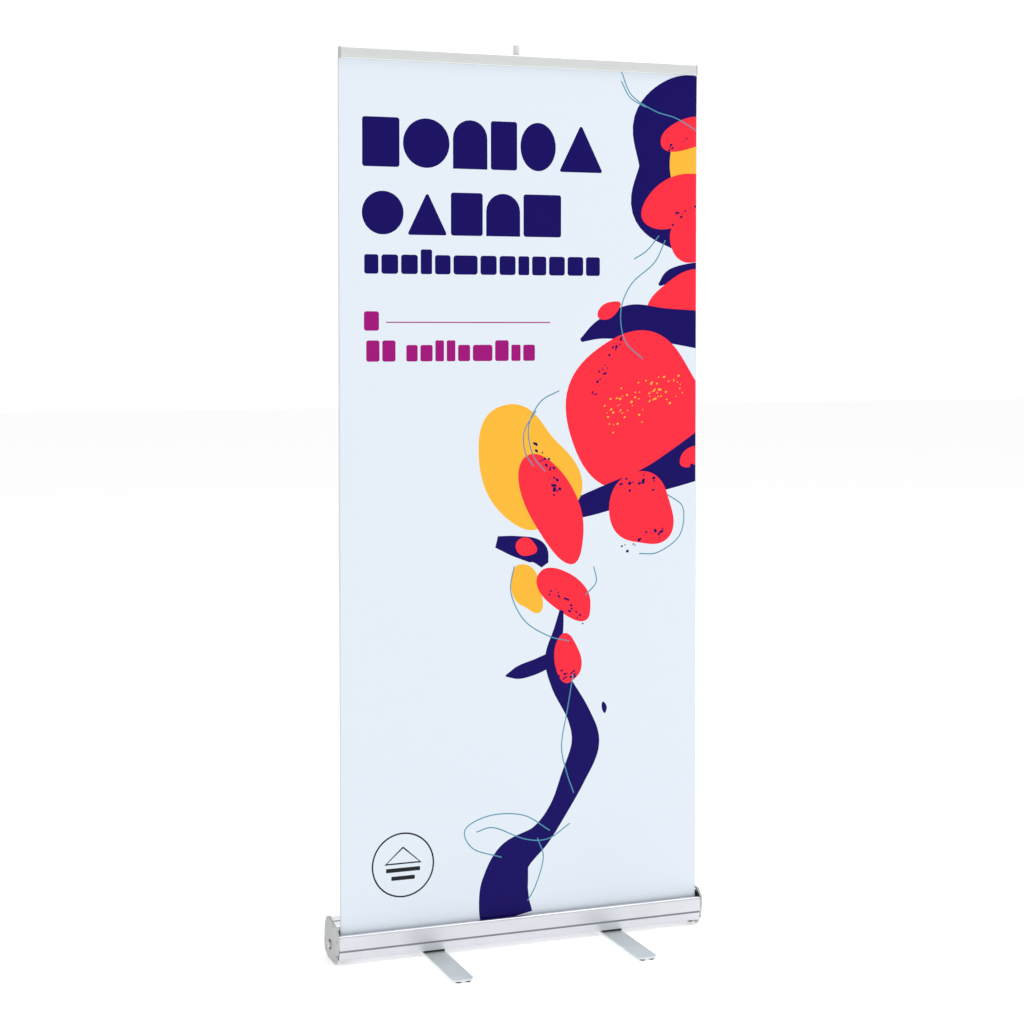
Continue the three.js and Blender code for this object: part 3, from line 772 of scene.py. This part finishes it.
def threads() -> list[Patch]:
    """Composes the thin teal lines that wander over the rest."""
    width = 2.6
    lines = (
        ((236, 1958), (262, 1905), (320, 1872), (372, 1858), (424, 1832)),
        ((236, 1936), (258, 1900), (296, 1880)),
        ((346, 1580), (318, 1528), (262, 1480), (236, 1420), (246, 1352), (290, 1310)),
        ((330, 1590), (300, 1556), (268, 1536)),
        ((86, 1240), (40, 1215), (12, 1160), (22, 1098), (52, 1060)),
        ((30, 1196), (2, 1150), (4, 1104), (24, 1072)),
        ((352, 1000), (392, 968), (384, 905), (330, 868), (282, 866)),
        ((170, 842), (176, 806), (150, 778)),
        ((-22, 850), (-30, 792), (2, 728), (60, 690), (110, 676)),
        ((120, 600), (106, 520), (92, 440), (104, 380), (122, 330)),
        ((64, 250), (0, 290), (-80, 296), (-138, 270), (-120, 226), (-52, 200)),
        ((112, 262), (60, 232), (4, 236), (-70, 268), (-112, 262)),
        ((34, 236), (48, 190), (30, 130), (10, 96)),
    )
    return [Ribbon(Ink.TEAL, tuple((x, z, width) for x, z in line)) for line in lines]


# ---------------------------------------------------------------- sub-assemblies

def dress(finish: Finish, *names: str) -> None:
    """Gives the frame's own pieces a finish.

    Args:
        finish: The finish.
        names: The pieces' names.
    """
    for name in names:
        for holder in frame["nodes"][name].material_slots:
            holder.material = finish.material()
        log.info("dressed %s in %s", name, finish.name)


def join_in(made: bpy.types.Object, finish: Finish | None, body: str, slot: str, *stands_for: str) -> None:
    """Finishes a new piece and ties it to the frame.

    Args:
        made: The piece.
        finish: Its finish, or None where it has its materials already.
        body: The body it rides on.
        slot: A material slot of the record; not used.
        stands_for: The frame's pieces that it replaces.
    """
    if finish:
        made.data.materials.append(finish.material())
    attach(made, body)
    if stands_for:
        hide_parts(*stands_for)
    log.info("made %s, %d faces, on %s", made.name, len(made.data.polygons), body)


def box_of(node: str) -> tuple[Vector, Vector]:
    """Gives a piece's lowest and highest corners in millimetres."""
    low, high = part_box(node)
    return low / MM, high / MM


def upright(node: str) -> Axis:
    """Gives the upright axis through a piece's middle, from its lowest point up."""
    low, high = box_of(node)
    return Axis(((low.x + high.x) / 2, (low.y + high.y) / 2, low.z))


def joint(name: str) -> dict:
    """Gives a joint of the frame."""
    return next(j for j in frame["joints"] if j["name"] == name)


@dataclass
class Film:
    """The printed film: the hanging sheet, its run into the base and its roll.

    Attributes:
        width: Its full width.
        thickness: Its thickness, which is the real one drawn thicker.
        margins: The unprinted strips beside the left and right cut edges.
        clamped_width: Its width between the rail's caps.
        shoulder_z: The height from which it has that width.
        slot_z: The height at which it leaves the base.
        cell: The spacing of its grid of points.
        curl: How far its cut edges curl back between rail and base.
        curl_reach: The width of film that curls.
        ripple: The height of its slow waves.
        spans: What a radian of the first and the second wave spans, across and up.
        fade: How far the waves take to fade in above the slot and below the rail.
        grip: The height of film that the rail holds.
        roll_inner: The inner radius of the roll.
        roll_outer: The outer radius of the roll.
        turns: How many turns are on the roll.
        strip_share: How much of the thickness lies to each side of a strip's line.
        web_points: How many points draw the run from the sheet to the roll.
        turn_points: How many points draw a turn of the roll.
        roll_axis: The roll's axis, (depth, up).
        sheet_z: The heights of the sheet's lower and upper end.
    """

    width: float = 850.0
    thickness: float = 0.5
    # margins: The darker grey strips beside the left and right cut edges.
    margins: tuple[float, float] = (2.8, 0.9)
    clamped_width: float = 838.8
    shoulder_z: float = 1956.3
    slot_z: float = 62.0
    cell: float = 24.0
    curl: float = 1.6
    curl_reach: float = 16.0
    ripple: float = 0.35
    spans: tuple[float, float, float, float] = (71.0, 260.0, 163.0, 410.0)
    fade: tuple[float, float] = (140.0, 110.0)
    grip: float = 16.0
    roll_inner: float = 16.4
    roll_outer: float = 18.5
    turns: float = 4.2
    strip_share: float = 0.45
    web_points: int = 25
    turn_points: int = 40
    roll_axis: tuple[float, float] = (43.0 + FILM_Y, 33.8)
    sheet_z: tuple[float, float] = field(init=False)

    def __post_init__(self) -> None:
        """Takes the sheet's ends from the frame."""
        low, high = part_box("banner_sheet")
        self.sheet_z = (low.z / MM, high.z / MM)

    def outline(self) -> Array:
        """Gives the sheet's outline, narrower between the rail's caps."""
        w, n, (low, high), z = self.width / 2, self.clamped_width / 2, self.sheet_z, self.shoulder_z
        half = np.array([(w, low), (w, z), (n, z), (n, high)], float)
        return np.concatenate([[(-w, low)], half, half[:0:-1] * (-1, 1)])

    def depth(self, points: Array) -> Array:
        """Works out how far the film stands off its plane.

        Two crossing sine waves a few hundred millimetres long, the second 0.6
        as high as the first, plus the edge's curl, which grows as the square
        of the distance into its strip. Both fade out smoothly towards the slot
        and the rail.

        Args:
            points: Points on the sheet, (across, up).

        Returns:
            The depth of each point, positive to the rear.
        """
        x, z = points.T
        held = self.sheet_z[1] - self.grip
        rise = np.clip((z - self.slot_z) / self.fade[0], 0, 1) * np.clip((held - z) / self.fade[1], 0, 1)
        fade = rise * rise * (3 - 2 * rise)
        first_x, first_z, second_x, second_z = self.spans
        sway, share, lag = 0.9, 0.6, 1.3
        waves = np.sin(x / first_x + sway * np.sin(z / first_z))
        waves += share * np.sin(x / second_x - z / second_z + lag)
        into = np.clip((np.abs(x) - self.width / 2 + self.curl_reach) / self.curl_reach, 0, 1)
        return fade * (self.ripple * waves + self.curl * into**2)

    def printed(self) -> tuple[Array, Array, Array]:
        """Cuts the sheet into triangles along the edges of the print.

        The triangles meet the Delaunay rule between the outlines and a plain
        grid of points. A triangle takes the ink of the topmost patch over it.

        Returns:
            The points (across, up), the triangles and each triangle's ink.
        """
        w, (low, high) = self.width / 2, self.sheet_z
        patches = [Panel(Ink.FIELD, ((-w, low), (w, low), (w, high), (-w, high)))]
        patches += crown() + boughs() + trunk() + flecks() + threads() + heading() + captions()
        spare = 5
        patches += [bar(Ink.MARGIN, side * w - strip, side * w + strip, low - spare, high + spare)
                    for side, strip in zip((-1, 1), self.margins)]
        rings = [self.outline()] + [patch.outline() for patch in patches]
        inks = np.array([Ink.FIELD] + [patch.ink for patch in patches])
        ends = np.cumsum([len(ring) for ring in rings])
        loops = [list(range(end - len(ring), end)) for ring, end in zip(rings, ends)]
        across = np.linspace(-w, w, round(self.width / self.cell) + 1)[1:-1]
        across = np.concatenate([[-w + self.curl_reach / 2], across, [w - self.curl_reach / 2]])
        up = np.linspace(low, high, round((high - low) / self.cell) + 1)[1:-1]
        grid = np.stack(np.meshgrid(across, up), -1).reshape(-1, 2)
        spots = np.concatenate([*rings, grid])
        every_triangle, nearness = 0, 1e-4
        made = delaunay_2d_cdt(spots.tolist(), [], loops, every_triangle, nearness, True)
        points, _, triangles, _, _, sources = made
        inside = [0 in source for source in sources]
        tops = np.array([inks[max(source)] for source, kept in zip(sources, inside) if kept])
        return np.array(points), np.array([t for t, kept in zip(triangles, inside) if kept]), tops

    def sheet(self) -> None:
        """Builds the hanging sheet: face, back and the cut edge between them."""
        flat, front, inks = self.printed()
        used, front = np.unique(front, return_inverse=True)
        flat, front = flat[used], front.reshape(-1, 3)
        edges = np.concatenate([front[:, [0, 1]], front[:, [1, 2]], front[:, [2, 0]]])
        keys = np.sort(edges, 1) @ np.array([len(flat), 1])
        _, first, times = np.unique(keys, return_index=True, return_counts=True)
        rim = edges[first[times == 1]]
        count = len(flat)
        y = FILM_Y + self.depth(flat)
        face, back = (np.stack([flat[:, 0], y + side * self.thickness / 2, flat[:, 1]], -1)
                      for side in (-1, 1))
        walls = np.stack([rim[:, 1], rim[:, 0], rim[:, 0] + count, rim[:, 1] + count], -1)
        faces = front.tolist() + (front[:, ::-1] + count).tolist() + walls.tolist()
        made = piece("film_sheet", np.concatenate([face, back]), faces)
        for ink in Ink:
            made.data.materials.append(INK_FINISHES[ink].material())
        slots = np.concatenate([inks, np.full(len(front), Ink.BACK), np.full(len(walls), Ink.MARGIN)])
        made.data.polygons.foreach_set("material_index", slots.astype(np.int32))
        join_in(made, None, "top_rail", "film", "banner_sheet")
        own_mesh(made)

    def strip(self, line: Array) -> tuple[Array, Array]:
        """Carries the film's section along a line in the (depth, up) plane.

        Row i holds four corners: the line's i-th point moved half a thickness
        to either side, square to the line, at the film's left and right edges.

        Args:
            line: The film's middle line, one (depth, up) to a row.

        Returns:
            The points, four to a row of the grid, and the faces.
        """
        way = np.gradient(line, axis=0)
        way /= np.linalg.norm(way, axis=1, keepdims=True)
        aside = np.stack([-way[:, 1], way[:, 0]], -1) * self.thickness * self.strip_share
        w = self.width / 2
        corners = [(-w, 1), (w, 1), (w, -1), (-w, -1)]
        rows = [np.column_stack([np.full(len(line), x), line + side * aside]) for x, side in corners]
        points = np.stack(rows, 1).reshape(-1, 3)
        quads = grid_faces(len(line), 4, False, True)
        last = 4 * (len(line) - 1)
        return points, [*quads.tolist(), [3, 2, 1, 0], [last, last + 1, last + 2, last + 3]]

    def flat(self, line: Array) -> tuple[float, float]:
        """Gives the flat size in metres of the film that follows a line."""
        return self.width * MM, float(np.linalg.norm(np.diff(line, axis=0), axis=1).sum()) * MM

    def web(self) -> None:
        """Builds the run from the hanging sheet to the roll.

        It starts clear of the sheet's waves and curl, which come down past it
        when the rail drops.

        The line is the curve (1-t)^2 A + 2t(1-t) B + t^2 C, upright where it
        leaves the sheet at A and level where it meets the roll's top at C.
        """
        axis_y, axis_z = self.roll_axis
        top = axis_z + self.roll_outer - self.thickness / 2
        behind = FILM_Y + self.thickness + self.curl + 2 * self.ripple
        a, b = np.array([behind, self.slot_z + 1]), np.array([behind, top])
        c = np.array([axis_y, top])
        t = np.linspace(0, 1, self.web_points)[:, None]
        line = (1 - t)**2 * a + 2 * t * (1 - t) * b + t**2 * c
        made = piece("film_web", *self.strip(line))
        join_in(made, INK_FINISHES[Ink.BACK], "base", "film", "banner_web")

    def roll(self) -> None:
        """Builds the roll, a spiral whose radius grows evenly with its turn."""
        t = np.linspace(0, 1, round(self.turns * self.turn_points) + 1)
        half = self.thickness / 2
        radius = self.roll_inner + half + (self.roll_outer - self.roll_inner - self.thickness) * t
        angle = np.pi / 2 - 2 * np.pi * self.turns * (1 - t)
        line = np.stack([radius * np.cos(angle), radius * np.sin(angle)], -1) + self.roll_axis
        made = piece("film_roll", *self.strip(line))
        join_in(made, INK_FINISHES[Ink.BACK], "roller", "film", "banner_roll")

    def build(self) -> None:
        """Builds the sheet, the run and the roll."""
        self.sheet()
        self.web()
        self.roll()


@dataclass
class Pole:
    """The leaning support pole: three tubes, two inner ferrules, a tip and a socket.

    Attributes:
        foot: The centre of its lower end, (x, depth, up).
        length: Its length from there to the tip.
        radius: The radius of its tubes.
        wall: The wall of its tubes.
        plug_length: How much of the base plug shows below the tubes.
        plug_reach: How far the plugs go into the tubes.
        tip_length: How much of the tip shows.
        tip_radius: The radius of the tip.
        neck: The height of the tip's notch, its half length and its radius.
        ferrule: Half the length of a ferrule, its bore and its radius.
        socket: The depth, floor and radius of the socket.
        socket_play: How much wider than the pole the socket is, on each side.
        gap: The play between two pieces that meet.
        cord: The radius of the elastic cord.
        axis: The pole's own leaning axis.
    """

    foot: tuple[float, float, float] = (-12.0, 70.2 + FILM_Y, 60.4)
    length: float = field(init=False)
    radius: float = 6.5
    wall: float = 1.0
    plug_length: float = 12.0
    plug_reach: float = 30.0
    tip_length: float = 65.0
    tip_radius: float = 7.0
    neck: tuple[float, float, float] = (1908.0, 2.5, 5.0)
    ferrule: tuple[float, float, float] = (40.0, 4.0, 5.2)
    socket: tuple[float, float, float] = (30.0, 2.4, 10.0)
    socket_play: float = 0.5
    gap: float = 0.3
    cord: float = 1.6
    axis: Axis = field(init=False)

    def __post_init__(self) -> None:
        """Takes the lean from the lift joint and the length from the tip's top."""
        lift = joint("pole_lift")
        self.axis = Axis(self.foot, tuple(lift["axis"]))
        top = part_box("pole_tip")[1].z / MM
        lean = math.acos(lift["axis"][2])
        self.length = (top - self.foot[2] - (self.tip_radius - 1.2) * math.sin(lean)) / math.cos(lean)

    def tube(self, name: str, bore: float, radius: float, low: float, high: float) -> bpy.types.Object:
        """Turns a tube with its cut ends broken by 0.3 mm.

        Args:
            name: The piece's name.
            bore: The radius of its hole.
            radius: Its radius.
            low: Its lower end along the pole.
            high: Its upper end.

        Returns:
            The piece.
        """
        e = 0.3
        loop = [(bore, low), (radius - e, low), (radius, low + e), (radius, high - e),
                (radius - e, high), (bore, high)]
        return self.axis.turned(name, np.array(loop), closed=True)

    def build(self) -> None:
        """Builds the tubes, ferrules, plug, tip, cord and socket."""
        r, bore = self.radius, self.radius - self.wall
        start, end = self.plug_length, self.length - self.tip_length
        section = (end - start) / 3
        for i, name in enumerate(("lower", "middle", "upper")):
            low = start + i * section + self.gap / 2
            made = self.tube(f"pole_{name}_tube", bore, r, low, low + section - self.gap)
            join_in(made, POLE_ALUMINIUM, "pole", "pole_aluminium", f"pole_{name}")
        half, hole, stem = self.ferrule
        for i, name in enumerate(("low", "high"), 1):
            middle = start + i * section
            made = self.tube(f"ferrule_{name}", hole, stem, middle - half, middle + half)
            join_in(made, ZINC_PLATE, "pole", "zinc_steel", f"pole_ferrule_{name}")
        self.plug(start, stem)
        self.tip(end, stem)
        low, high = start + self.plug_reach + self.gap, end - self.plug_reach - self.gap
        line = np.array([(0, low), (self.cord, low), (self.cord, high), (0, high)])
        made = self.axis.turned("pole_elastic", line, segments=12)
        join_in(made, ELASTIC_BRAID, "pole", "elastic", "pole_elastic_cord")
        self.cup()

    def plug(self, start: float, stem: float) -> None:
        """Turns the base plug: a foot below the tubes and a stem inside them.

        Args:
            start: The lower end of the tubes along the pole.
            stem: The radius of the stem.
        """
        r, shoulder, top = self.radius, start - self.gap / 2, start + self.plug_reach
        profile = rounded([(0, 0), (r, 0, 1.2), (r, shoulder, 0.4), (stem, shoulder), (stem, top, 1),
                           (0, top)], closed=False)
        made = self.axis.turned("pole_foot_plug", profile)
        join_in(made, BLACK_NYLON, "pole", "black_plastic", "pole_base_plug")

    def cup(self) -> None:
        """Turns the socket in the base that the pole stands in."""
        (depth, floor, outer), mouth = self.socket, self.radius + self.socket_play
        profile = rounded([(0, -floor), (outer, -floor, 0.8), (outer, depth, 1.0), (mouth, depth, 0.8),
                           (mouth, -self.gap), (0, -self.gap)], closed=False)
        made = self.axis.turned("pole_cup", profile)
        join_in(made, BLACK_NYLON, "base", "black_plastic", "pole_socket")

    def tip(self, end: float, stem: float) -> None:
        """Turns the tip: a stem inside the tube, a head, and the rail's notch.

        Args:
            end: The upper end of the tubes along the pole.
            stem: The radius of the stem.
        """
        r, (neck, half, waist), slope = self.tip_radius, self.neck, 1.5
        bottom, low = end - self.plug_reach, end + self.gap / 2
        profile = rounded([
            (0, bottom), (stem, bottom, 1), (stem, low), (r, low, 0.8),
            (r, neck - half - slope, 0.6), (waist, neck - half, 0.6), (waist, neck + half, 0.6),
            (r, neck + half + slope, 0.6), (r, self.length, 2.2), (0, self.length),
        ], closed=False)
        made = self.axis.turned("pole_head", profile)
        join_in(made, NATURAL_POLYPROPYLENE, "pole", "tip_plastic", "pole_tip")


@dataclass
class Feet:
    """The two swinging feet with their pads, guides and pivot screws.

    Attributes:
        half_width: Half the width of a foot.
        corner: The radius of its corners.
        hole: The radius of its pivot hole.
        edge: The radius that the shears and the coating leave on its edges.
        pad: The radius and height of a pad.
        pad_dish: The depth of the hollow under a pad, and how wide its slope and its rim are.
    """

    half_width: float = 24.0
    corner: float = 15.0
    hole: float = 3.3
    edge: float = 0.9
    pad: tuple[float, float] = (6.0, 2.7)
    pad_dish: tuple[float, float, float] = (0.35, 0.6, 1.6)

    def plate(self, side: str) -> None:
        """Builds a foot, a flat bar with round corners, soft edges and a pivot hole.

        Row i is the bar's outline drawn in by the i-th inset at the i-th
        height, and the first and last rows lie on the pivot hole at the same
        bearings from the pivot as the outline's points.

        Args:
            side: Which foot.
        """
        low, high = box_of(f"foot_{side}")
        middle = np.array([(low.x + high.x) / 2, FILM_Y])
        front, rear, r = low.y - FILM_Y, high.y - FILM_Y, self.edge
        turn = np.radians(np.linspace(0, 90, 5))
        drawn_in, flat = r - r * np.sin(turn), [2.5 * r]
        inset = np.concatenate([flat, drawn_in, drawn_in[::-1], flat])
        rise = r - r * np.cos(turn)
        height = np.concatenate([[low.z], low.z + rise, (high.z - rise)[::-1], [high.z]])
        rings = [rounded_bar(front, rear, self.half_width, self.corner, i) for i in inset]
        bearing = np.arctan2(rings[0][:, 1], rings[0][:, 0])
        eye = self.hole * np.stack([np.cos(bearing), np.sin(bearing)], -1)
        rows = np.stack([eye, *rings, eye])
        levels = np.concatenate([[low.z], height, [high.z]])
        upright = np.broadcast_to(levels[:, None, None], (*rows.shape[:2], 1))
        points = np.concatenate([rows + middle, upright], -1)
        faces = grid_faces(len(rows), len(eye), True, True)
        made = piece(f"foot_plate_{side}", points.reshape(-1, 3), faces)
        join_in(made, SILVER_POWDER_COAT, f"foot_{side}", "foot_steel", f"foot_{side}")

    def pads(self, side: str) -> None:
        """Turns the four pads of a foot.

        Args:
            side: Which foot.
        """
        (r, h), (depth, slope, rim) = self.pad, self.pad_dish
        profile = rounded([(0, depth), (r - rim - slope, depth), (r - rim, 0), (r, 0, 0.7), (r, h, 0.3),
                           (0, h)], closed=False)
        for end in ("front", "rear"):
            for hand in "ab":
                node = f"foot_pad_{side}_{end}_{hand}"
                made = upright(node).turned(f"pad_{side}_{end}_{hand}", profile, segments=32)
                join_in(made, BLACK_RUBBER, f"foot_{side}", "rubber", node)

    def build(self) -> None:
        """Builds both feet and dresses what holds them."""
        for side in SIDES:
            self.plate(side)
            self.pads(side)
            # The guides are black nylon, and their black also paints the shade in the gap between each foot
            # and the base.
            dress(BLACK_NYLON, f"foot_guide_{side}")
            dress(SCREW_STEEL, f"foot_pivot_screw_{side}", f"foot_nut_plate_{side}")


@dataclass
class Base:
    """The base: three profiles, two end caps, and what is fixed to them.

    Attributes:
        screws: The places of the cap screws.
        buffer: The radius and height of a buffer.
        nut_radius: The radius of an axle nut.
        shade_ring: The thickness of the black ring that it stands in, which paints the shade of the recess
            round the nut.
        axle_bore: The radius of the nut's hole.
        play: The gap between a nut and the black ring round it.
        groove: The grey strip that fills the groove under the front panel and
            paints the groove's shade, as its front, rear, low and high sides,
            with depths counted from the film.
        half_length: Half the length of the strip.
    """

    screws: tuple[str, ...] = ("panel", "cover", "low_front", "low_rear")
    buffer: tuple[float, float] = (6.5, 3.1)
    nut_radius: float = 6.4
    shade_ring: float = 1.3
    axle_bore: float = 4.4
    play: float = 0.15
    groove: tuple[float, float, float, float] = (-14.6, -12.7, 30.7, 34.3)
    half_length: float = 430.0

    def axle_ends(self) -> None:
        """Turns the two axle nuts and the black rings they stand in, which paint the shade of the recess
        round each nut.
        """
        r, bore, inner = self.nut_radius, self.axle_bore, self.nut_radius + self.play
        for side, sign in SIDES.items():
            node = f"axle_nut_{side}"
            low, high = box_of(node)
            reach, rim = high.x - low.x, (high.z - low.z) / 2
            origin = (low.x if sign > 0 else high.x, (low.y + high.y) / 2, (low.z + high.z) / 2)
            axis = Axis(origin, (sign, 0, 0), (0, 1, 0))
            nut = rounded([(bore, 0), (r, 0), (r, reach, 1.9), (bore, reach, 0.4)])
            made = axis.turned(f"nut_{side}", nut, closed=True)
            join_in(made, IVORY_NYLON, "base", "tip_plastic", node)
            # Painted shade: the black ring round each nut stands in for the shade of the recess in the end
            # cap.
            shade_ring = rounded([(inner, 0), (rim, 0), (rim, self.shade_ring, 0.4), (inner, self.shade_ring, 0.3)])
            made = axis.turned(f"bush_{side}", shade_ring, closed=True)
            join_in(made, BLACK_NYLON, "base", "black_plastic", node)

    def groove_shade_strip(self) -> None:
        """Lays the grey strip that paints the groove's shade, a rounded section carried along the base."""
        front, rear, low, high = self.groove
        section = rounded([(front, low, 0.6), (rear, low), (rear, high), (front, high, 0.6)])
        section[:, 0] += FILM_Y
        made = carried("groove_shade_strip", section, -self.half_length, self.half_length)
        join_in(made, GROOVE_SHADE_PVC, "base", "rubber")

    def buffers(self) -> None:
        """Turns the two rubber buffers that the feet fold against."""
        r, h = self.buffer
        profile = rounded([(0, 0), (r, 0, 0.9), (r, h, 0.4), (0, h)], closed=False)
        for side in SIDES:
            node = f"base_buffer_{side}"
            made = upright(node).turned(f"buffer_{side}", profile, segments=32)
            join_in(made, BLACK_RUBBER, "base", "rubber", node)

    def build(self) -> None:
        """Dresses the profiles, caps, nuts and screws, and turns the buffers."""
        dress(SATIN_ALUMINIUM, "base_shell", "front_panel", "top_cover")
        dress(GREY_ABS, *(f"end_cap_{side}" for side in SIDES))
        dress(BLACK_NYLON, *(f"slot_guide_{side}" for side in SIDES))
        dress(ZINC_PLATE, "spring_arbor", "spring_collar", "idler_axle")
        dress(SCREW_STEEL, *(f"cap_screw_{place}_{side}" for place in self.screws for side in SIDES))
        self.axle_ends()
        # The grey strip in the groove under the front panel is painted shade.
        self.groove_shade_strip()
        self.buffers()


@dataclass
class TopRail:
    """The rail that clamps the film's upper edge."""

    def build(self) -> None:
        """Dresses the two profiles, their grip strip and caps."""
        # The rail's aluminium is drawn lighter than the base's: painted light.
        dress(RAIL_ALUMINIUM_PAINTED_LIGHT, "rail_front", "rail_back")
        dress(GREY_ABS, "rail_cap_left", "rail_cap_right")
        dress(BLACK_RUBBER, "rail_grip_strip")


@dataclass
class Roller:
    """The spring roller inside the base."""

    def build(self) -> None:
        """Dresses the tube, its plugs and the spring."""
        dress(MILL_ALUMINIUM, "roller_tube")
        dress(BLACK_NYLON, "roller_plug_idler", "roller_plug_spring", "spring_drive_plug")
        dress(SPRING_STEEL, "torsion_spring")


@dataclass(frozen=True)
class Lamp:
    """A soft rectangular light.

    Attributes:
        name: Its name.
        place: Where it stands.
        target: What it looks at.
        size: Its width and height.
        power: Its power in watts.
    """

    name: str
    place: tuple[float, float, float]
    target: tuple[float, float, float]
    size: tuple[float, float]
    power: float

    def hang(self) -> None:
        """Hangs the light so that its face looks straight at its target."""
        light = bpy.data.lights.new(self.name, "AREA")
        light.shape, light.size, light.size_y, light.energy = "RECTANGLE", *self.size, self.power
        made = bpy.data.objects.new(self.name, light)
        made.location = self.place
        way = Vector(self.target) - Vector(self.place)
        made.rotation_euler = way.to_track_quat("-Z", "Y").to_euler()
        bpy.context.scene.collection.objects.link(made)


@dataclass
class Studio:
    """The plain pale floor, the soft lights and the camera, in metres.

    Attributes:
        floor_size: The side of the floor.
        eye: Where the camera stands.
        gaze: How the camera is turned.
        lens: Its focal length on a 36 mm wide sensor.
        shift: How far its frame is shifted.
        lamps: The soft lights.
        glow: How bright the surroundings are.
        backdrop: How bright they are where the camera sees them, a plain white.
        floor_glow: How much light comes up through the floor, a light table.
        floor_points: How many points lie along a side of it.
    """

    floor_size: float = 60.0
    eye: tuple[float, float, float] = (-1.5719, -4.1127, 1.3741)
    gaze: tuple[float, float, float] = (math.pi / 2 - 0.0322, 0.0, -0.3611)
    lens: float = 69.73
    shift: tuple[float, float] = (-0.0042, -0.1147)
    lamps: tuple[Lamp, ...] = (
        Lamp("lamp_key", (-2.6, -4.6, 3.4), (0.0, 0.0, 0.9), (3.0, 3.0), 13.5),
        Lamp("lamp_fill", (3.8, -3.2, 2.0), (0.0, 0.0, 0.9), (2.5, 3.5), 6.5),
        Lamp("lamp_top", (3.0, -2.2, 7.9), (0.1, 0.0, 0.0), (5.0, 3.2), 180.0),
        Lamp("lamp_rear", (0.5, 4.5, 2.8), (0.0, 0.0, 1.0), (4.0, 3.0), 40.0),
    )
    glow: float = 0.62
    backdrop: float = 1.05
    floor_glow: float = 0.40
    floor_points: int = 9

    def floor(self) -> None:
        """Lays the floor, a fine grid of one plane."""
        half = self.floor_size / 2 / MM
        line = np.linspace(-half, half, self.floor_points)
        grid = np.stack(np.meshgrid(line, line), -1).reshape(-1, 2)
        faces = grid_faces(len(line), len(line), False, False)
        made = piece("studio_floor", np.column_stack([grid, np.zeros(len(grid))]), faces)
        acrylic = OPAL_ACRYLIC.material()
        shader = next(n for n in acrylic.node_tree.nodes if n.type == "BSDF_PRINCIPLED")
        shader.inputs["Emission Color"].default_value = linear("FFFFFF")
        shader.inputs["Emission Strength"].default_value = self.floor_glow
        made.data.materials.append(acrylic)

    def light(self) -> None:
        """Hangs the soft lights and sets the plain near-white surroundings."""
        for lamp in self.lamps:
            lamp.hang()
        world = bpy.data.worlds.new("studio_white")
        world.use_nodes = True
        tree = world.node_tree
        tree.nodes.clear()
        lit = add_node(tree, "ShaderNodeBackground", values={"Strength": self.glow})
        seen = add_node(tree, "ShaderNodeBackground", values={"Strength": self.backdrop})
        for shade in (lit, seen):
            shade.inputs["Color"].default_value = linear("FFFFFF")
        camera_ray = add_node(tree, "ShaderNodeLightPath").outputs["Is Camera Ray"]
        both = add_node(tree, "ShaderNodeMixShader",
                        links={0: camera_ray, 1: lit.outputs[0], 2: seen.outputs[0]})
        add_node(tree, "ShaderNodeOutputWorld", links={"Surface": both.outputs[0]})
        bpy.context.scene.world = world
        bpy.context.scene.view_settings.view_transform = "Standard"

    def camera(self) -> None:
        """Stands the camera."""
        data = bpy.data.cameras.new("studio_camera")
        data.sensor_width, data.lens = 36.0, self.lens
        data.shift_x, data.shift_y = self.shift
        data.clip_end = 200.0
        made = bpy.data.objects.new("studio_camera", data)
        made.location, made.rotation_euler = self.eye, self.gaze
        bpy.context.scene.collection.objects.link(made)
        bpy.context.scene.camera = made

    def build(self) -> None:
        """Builds the floor, lights and camera."""
        self.floor()
        self.light()
        self.camera()


def main() -> None:
    """Builds every sub-assembly in order."""
    logging.basicConfig(level=logging.INFO, format="%(name)s: %(message)s")
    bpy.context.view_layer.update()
    for assembly in (Base(), Roller(), Film(), TopRail(), Pole(), Feet(), Studio()):
        assembly.build()
        log.info("finished %s", type(assembly).__name__)


if __name__ == "__main__":
    main()
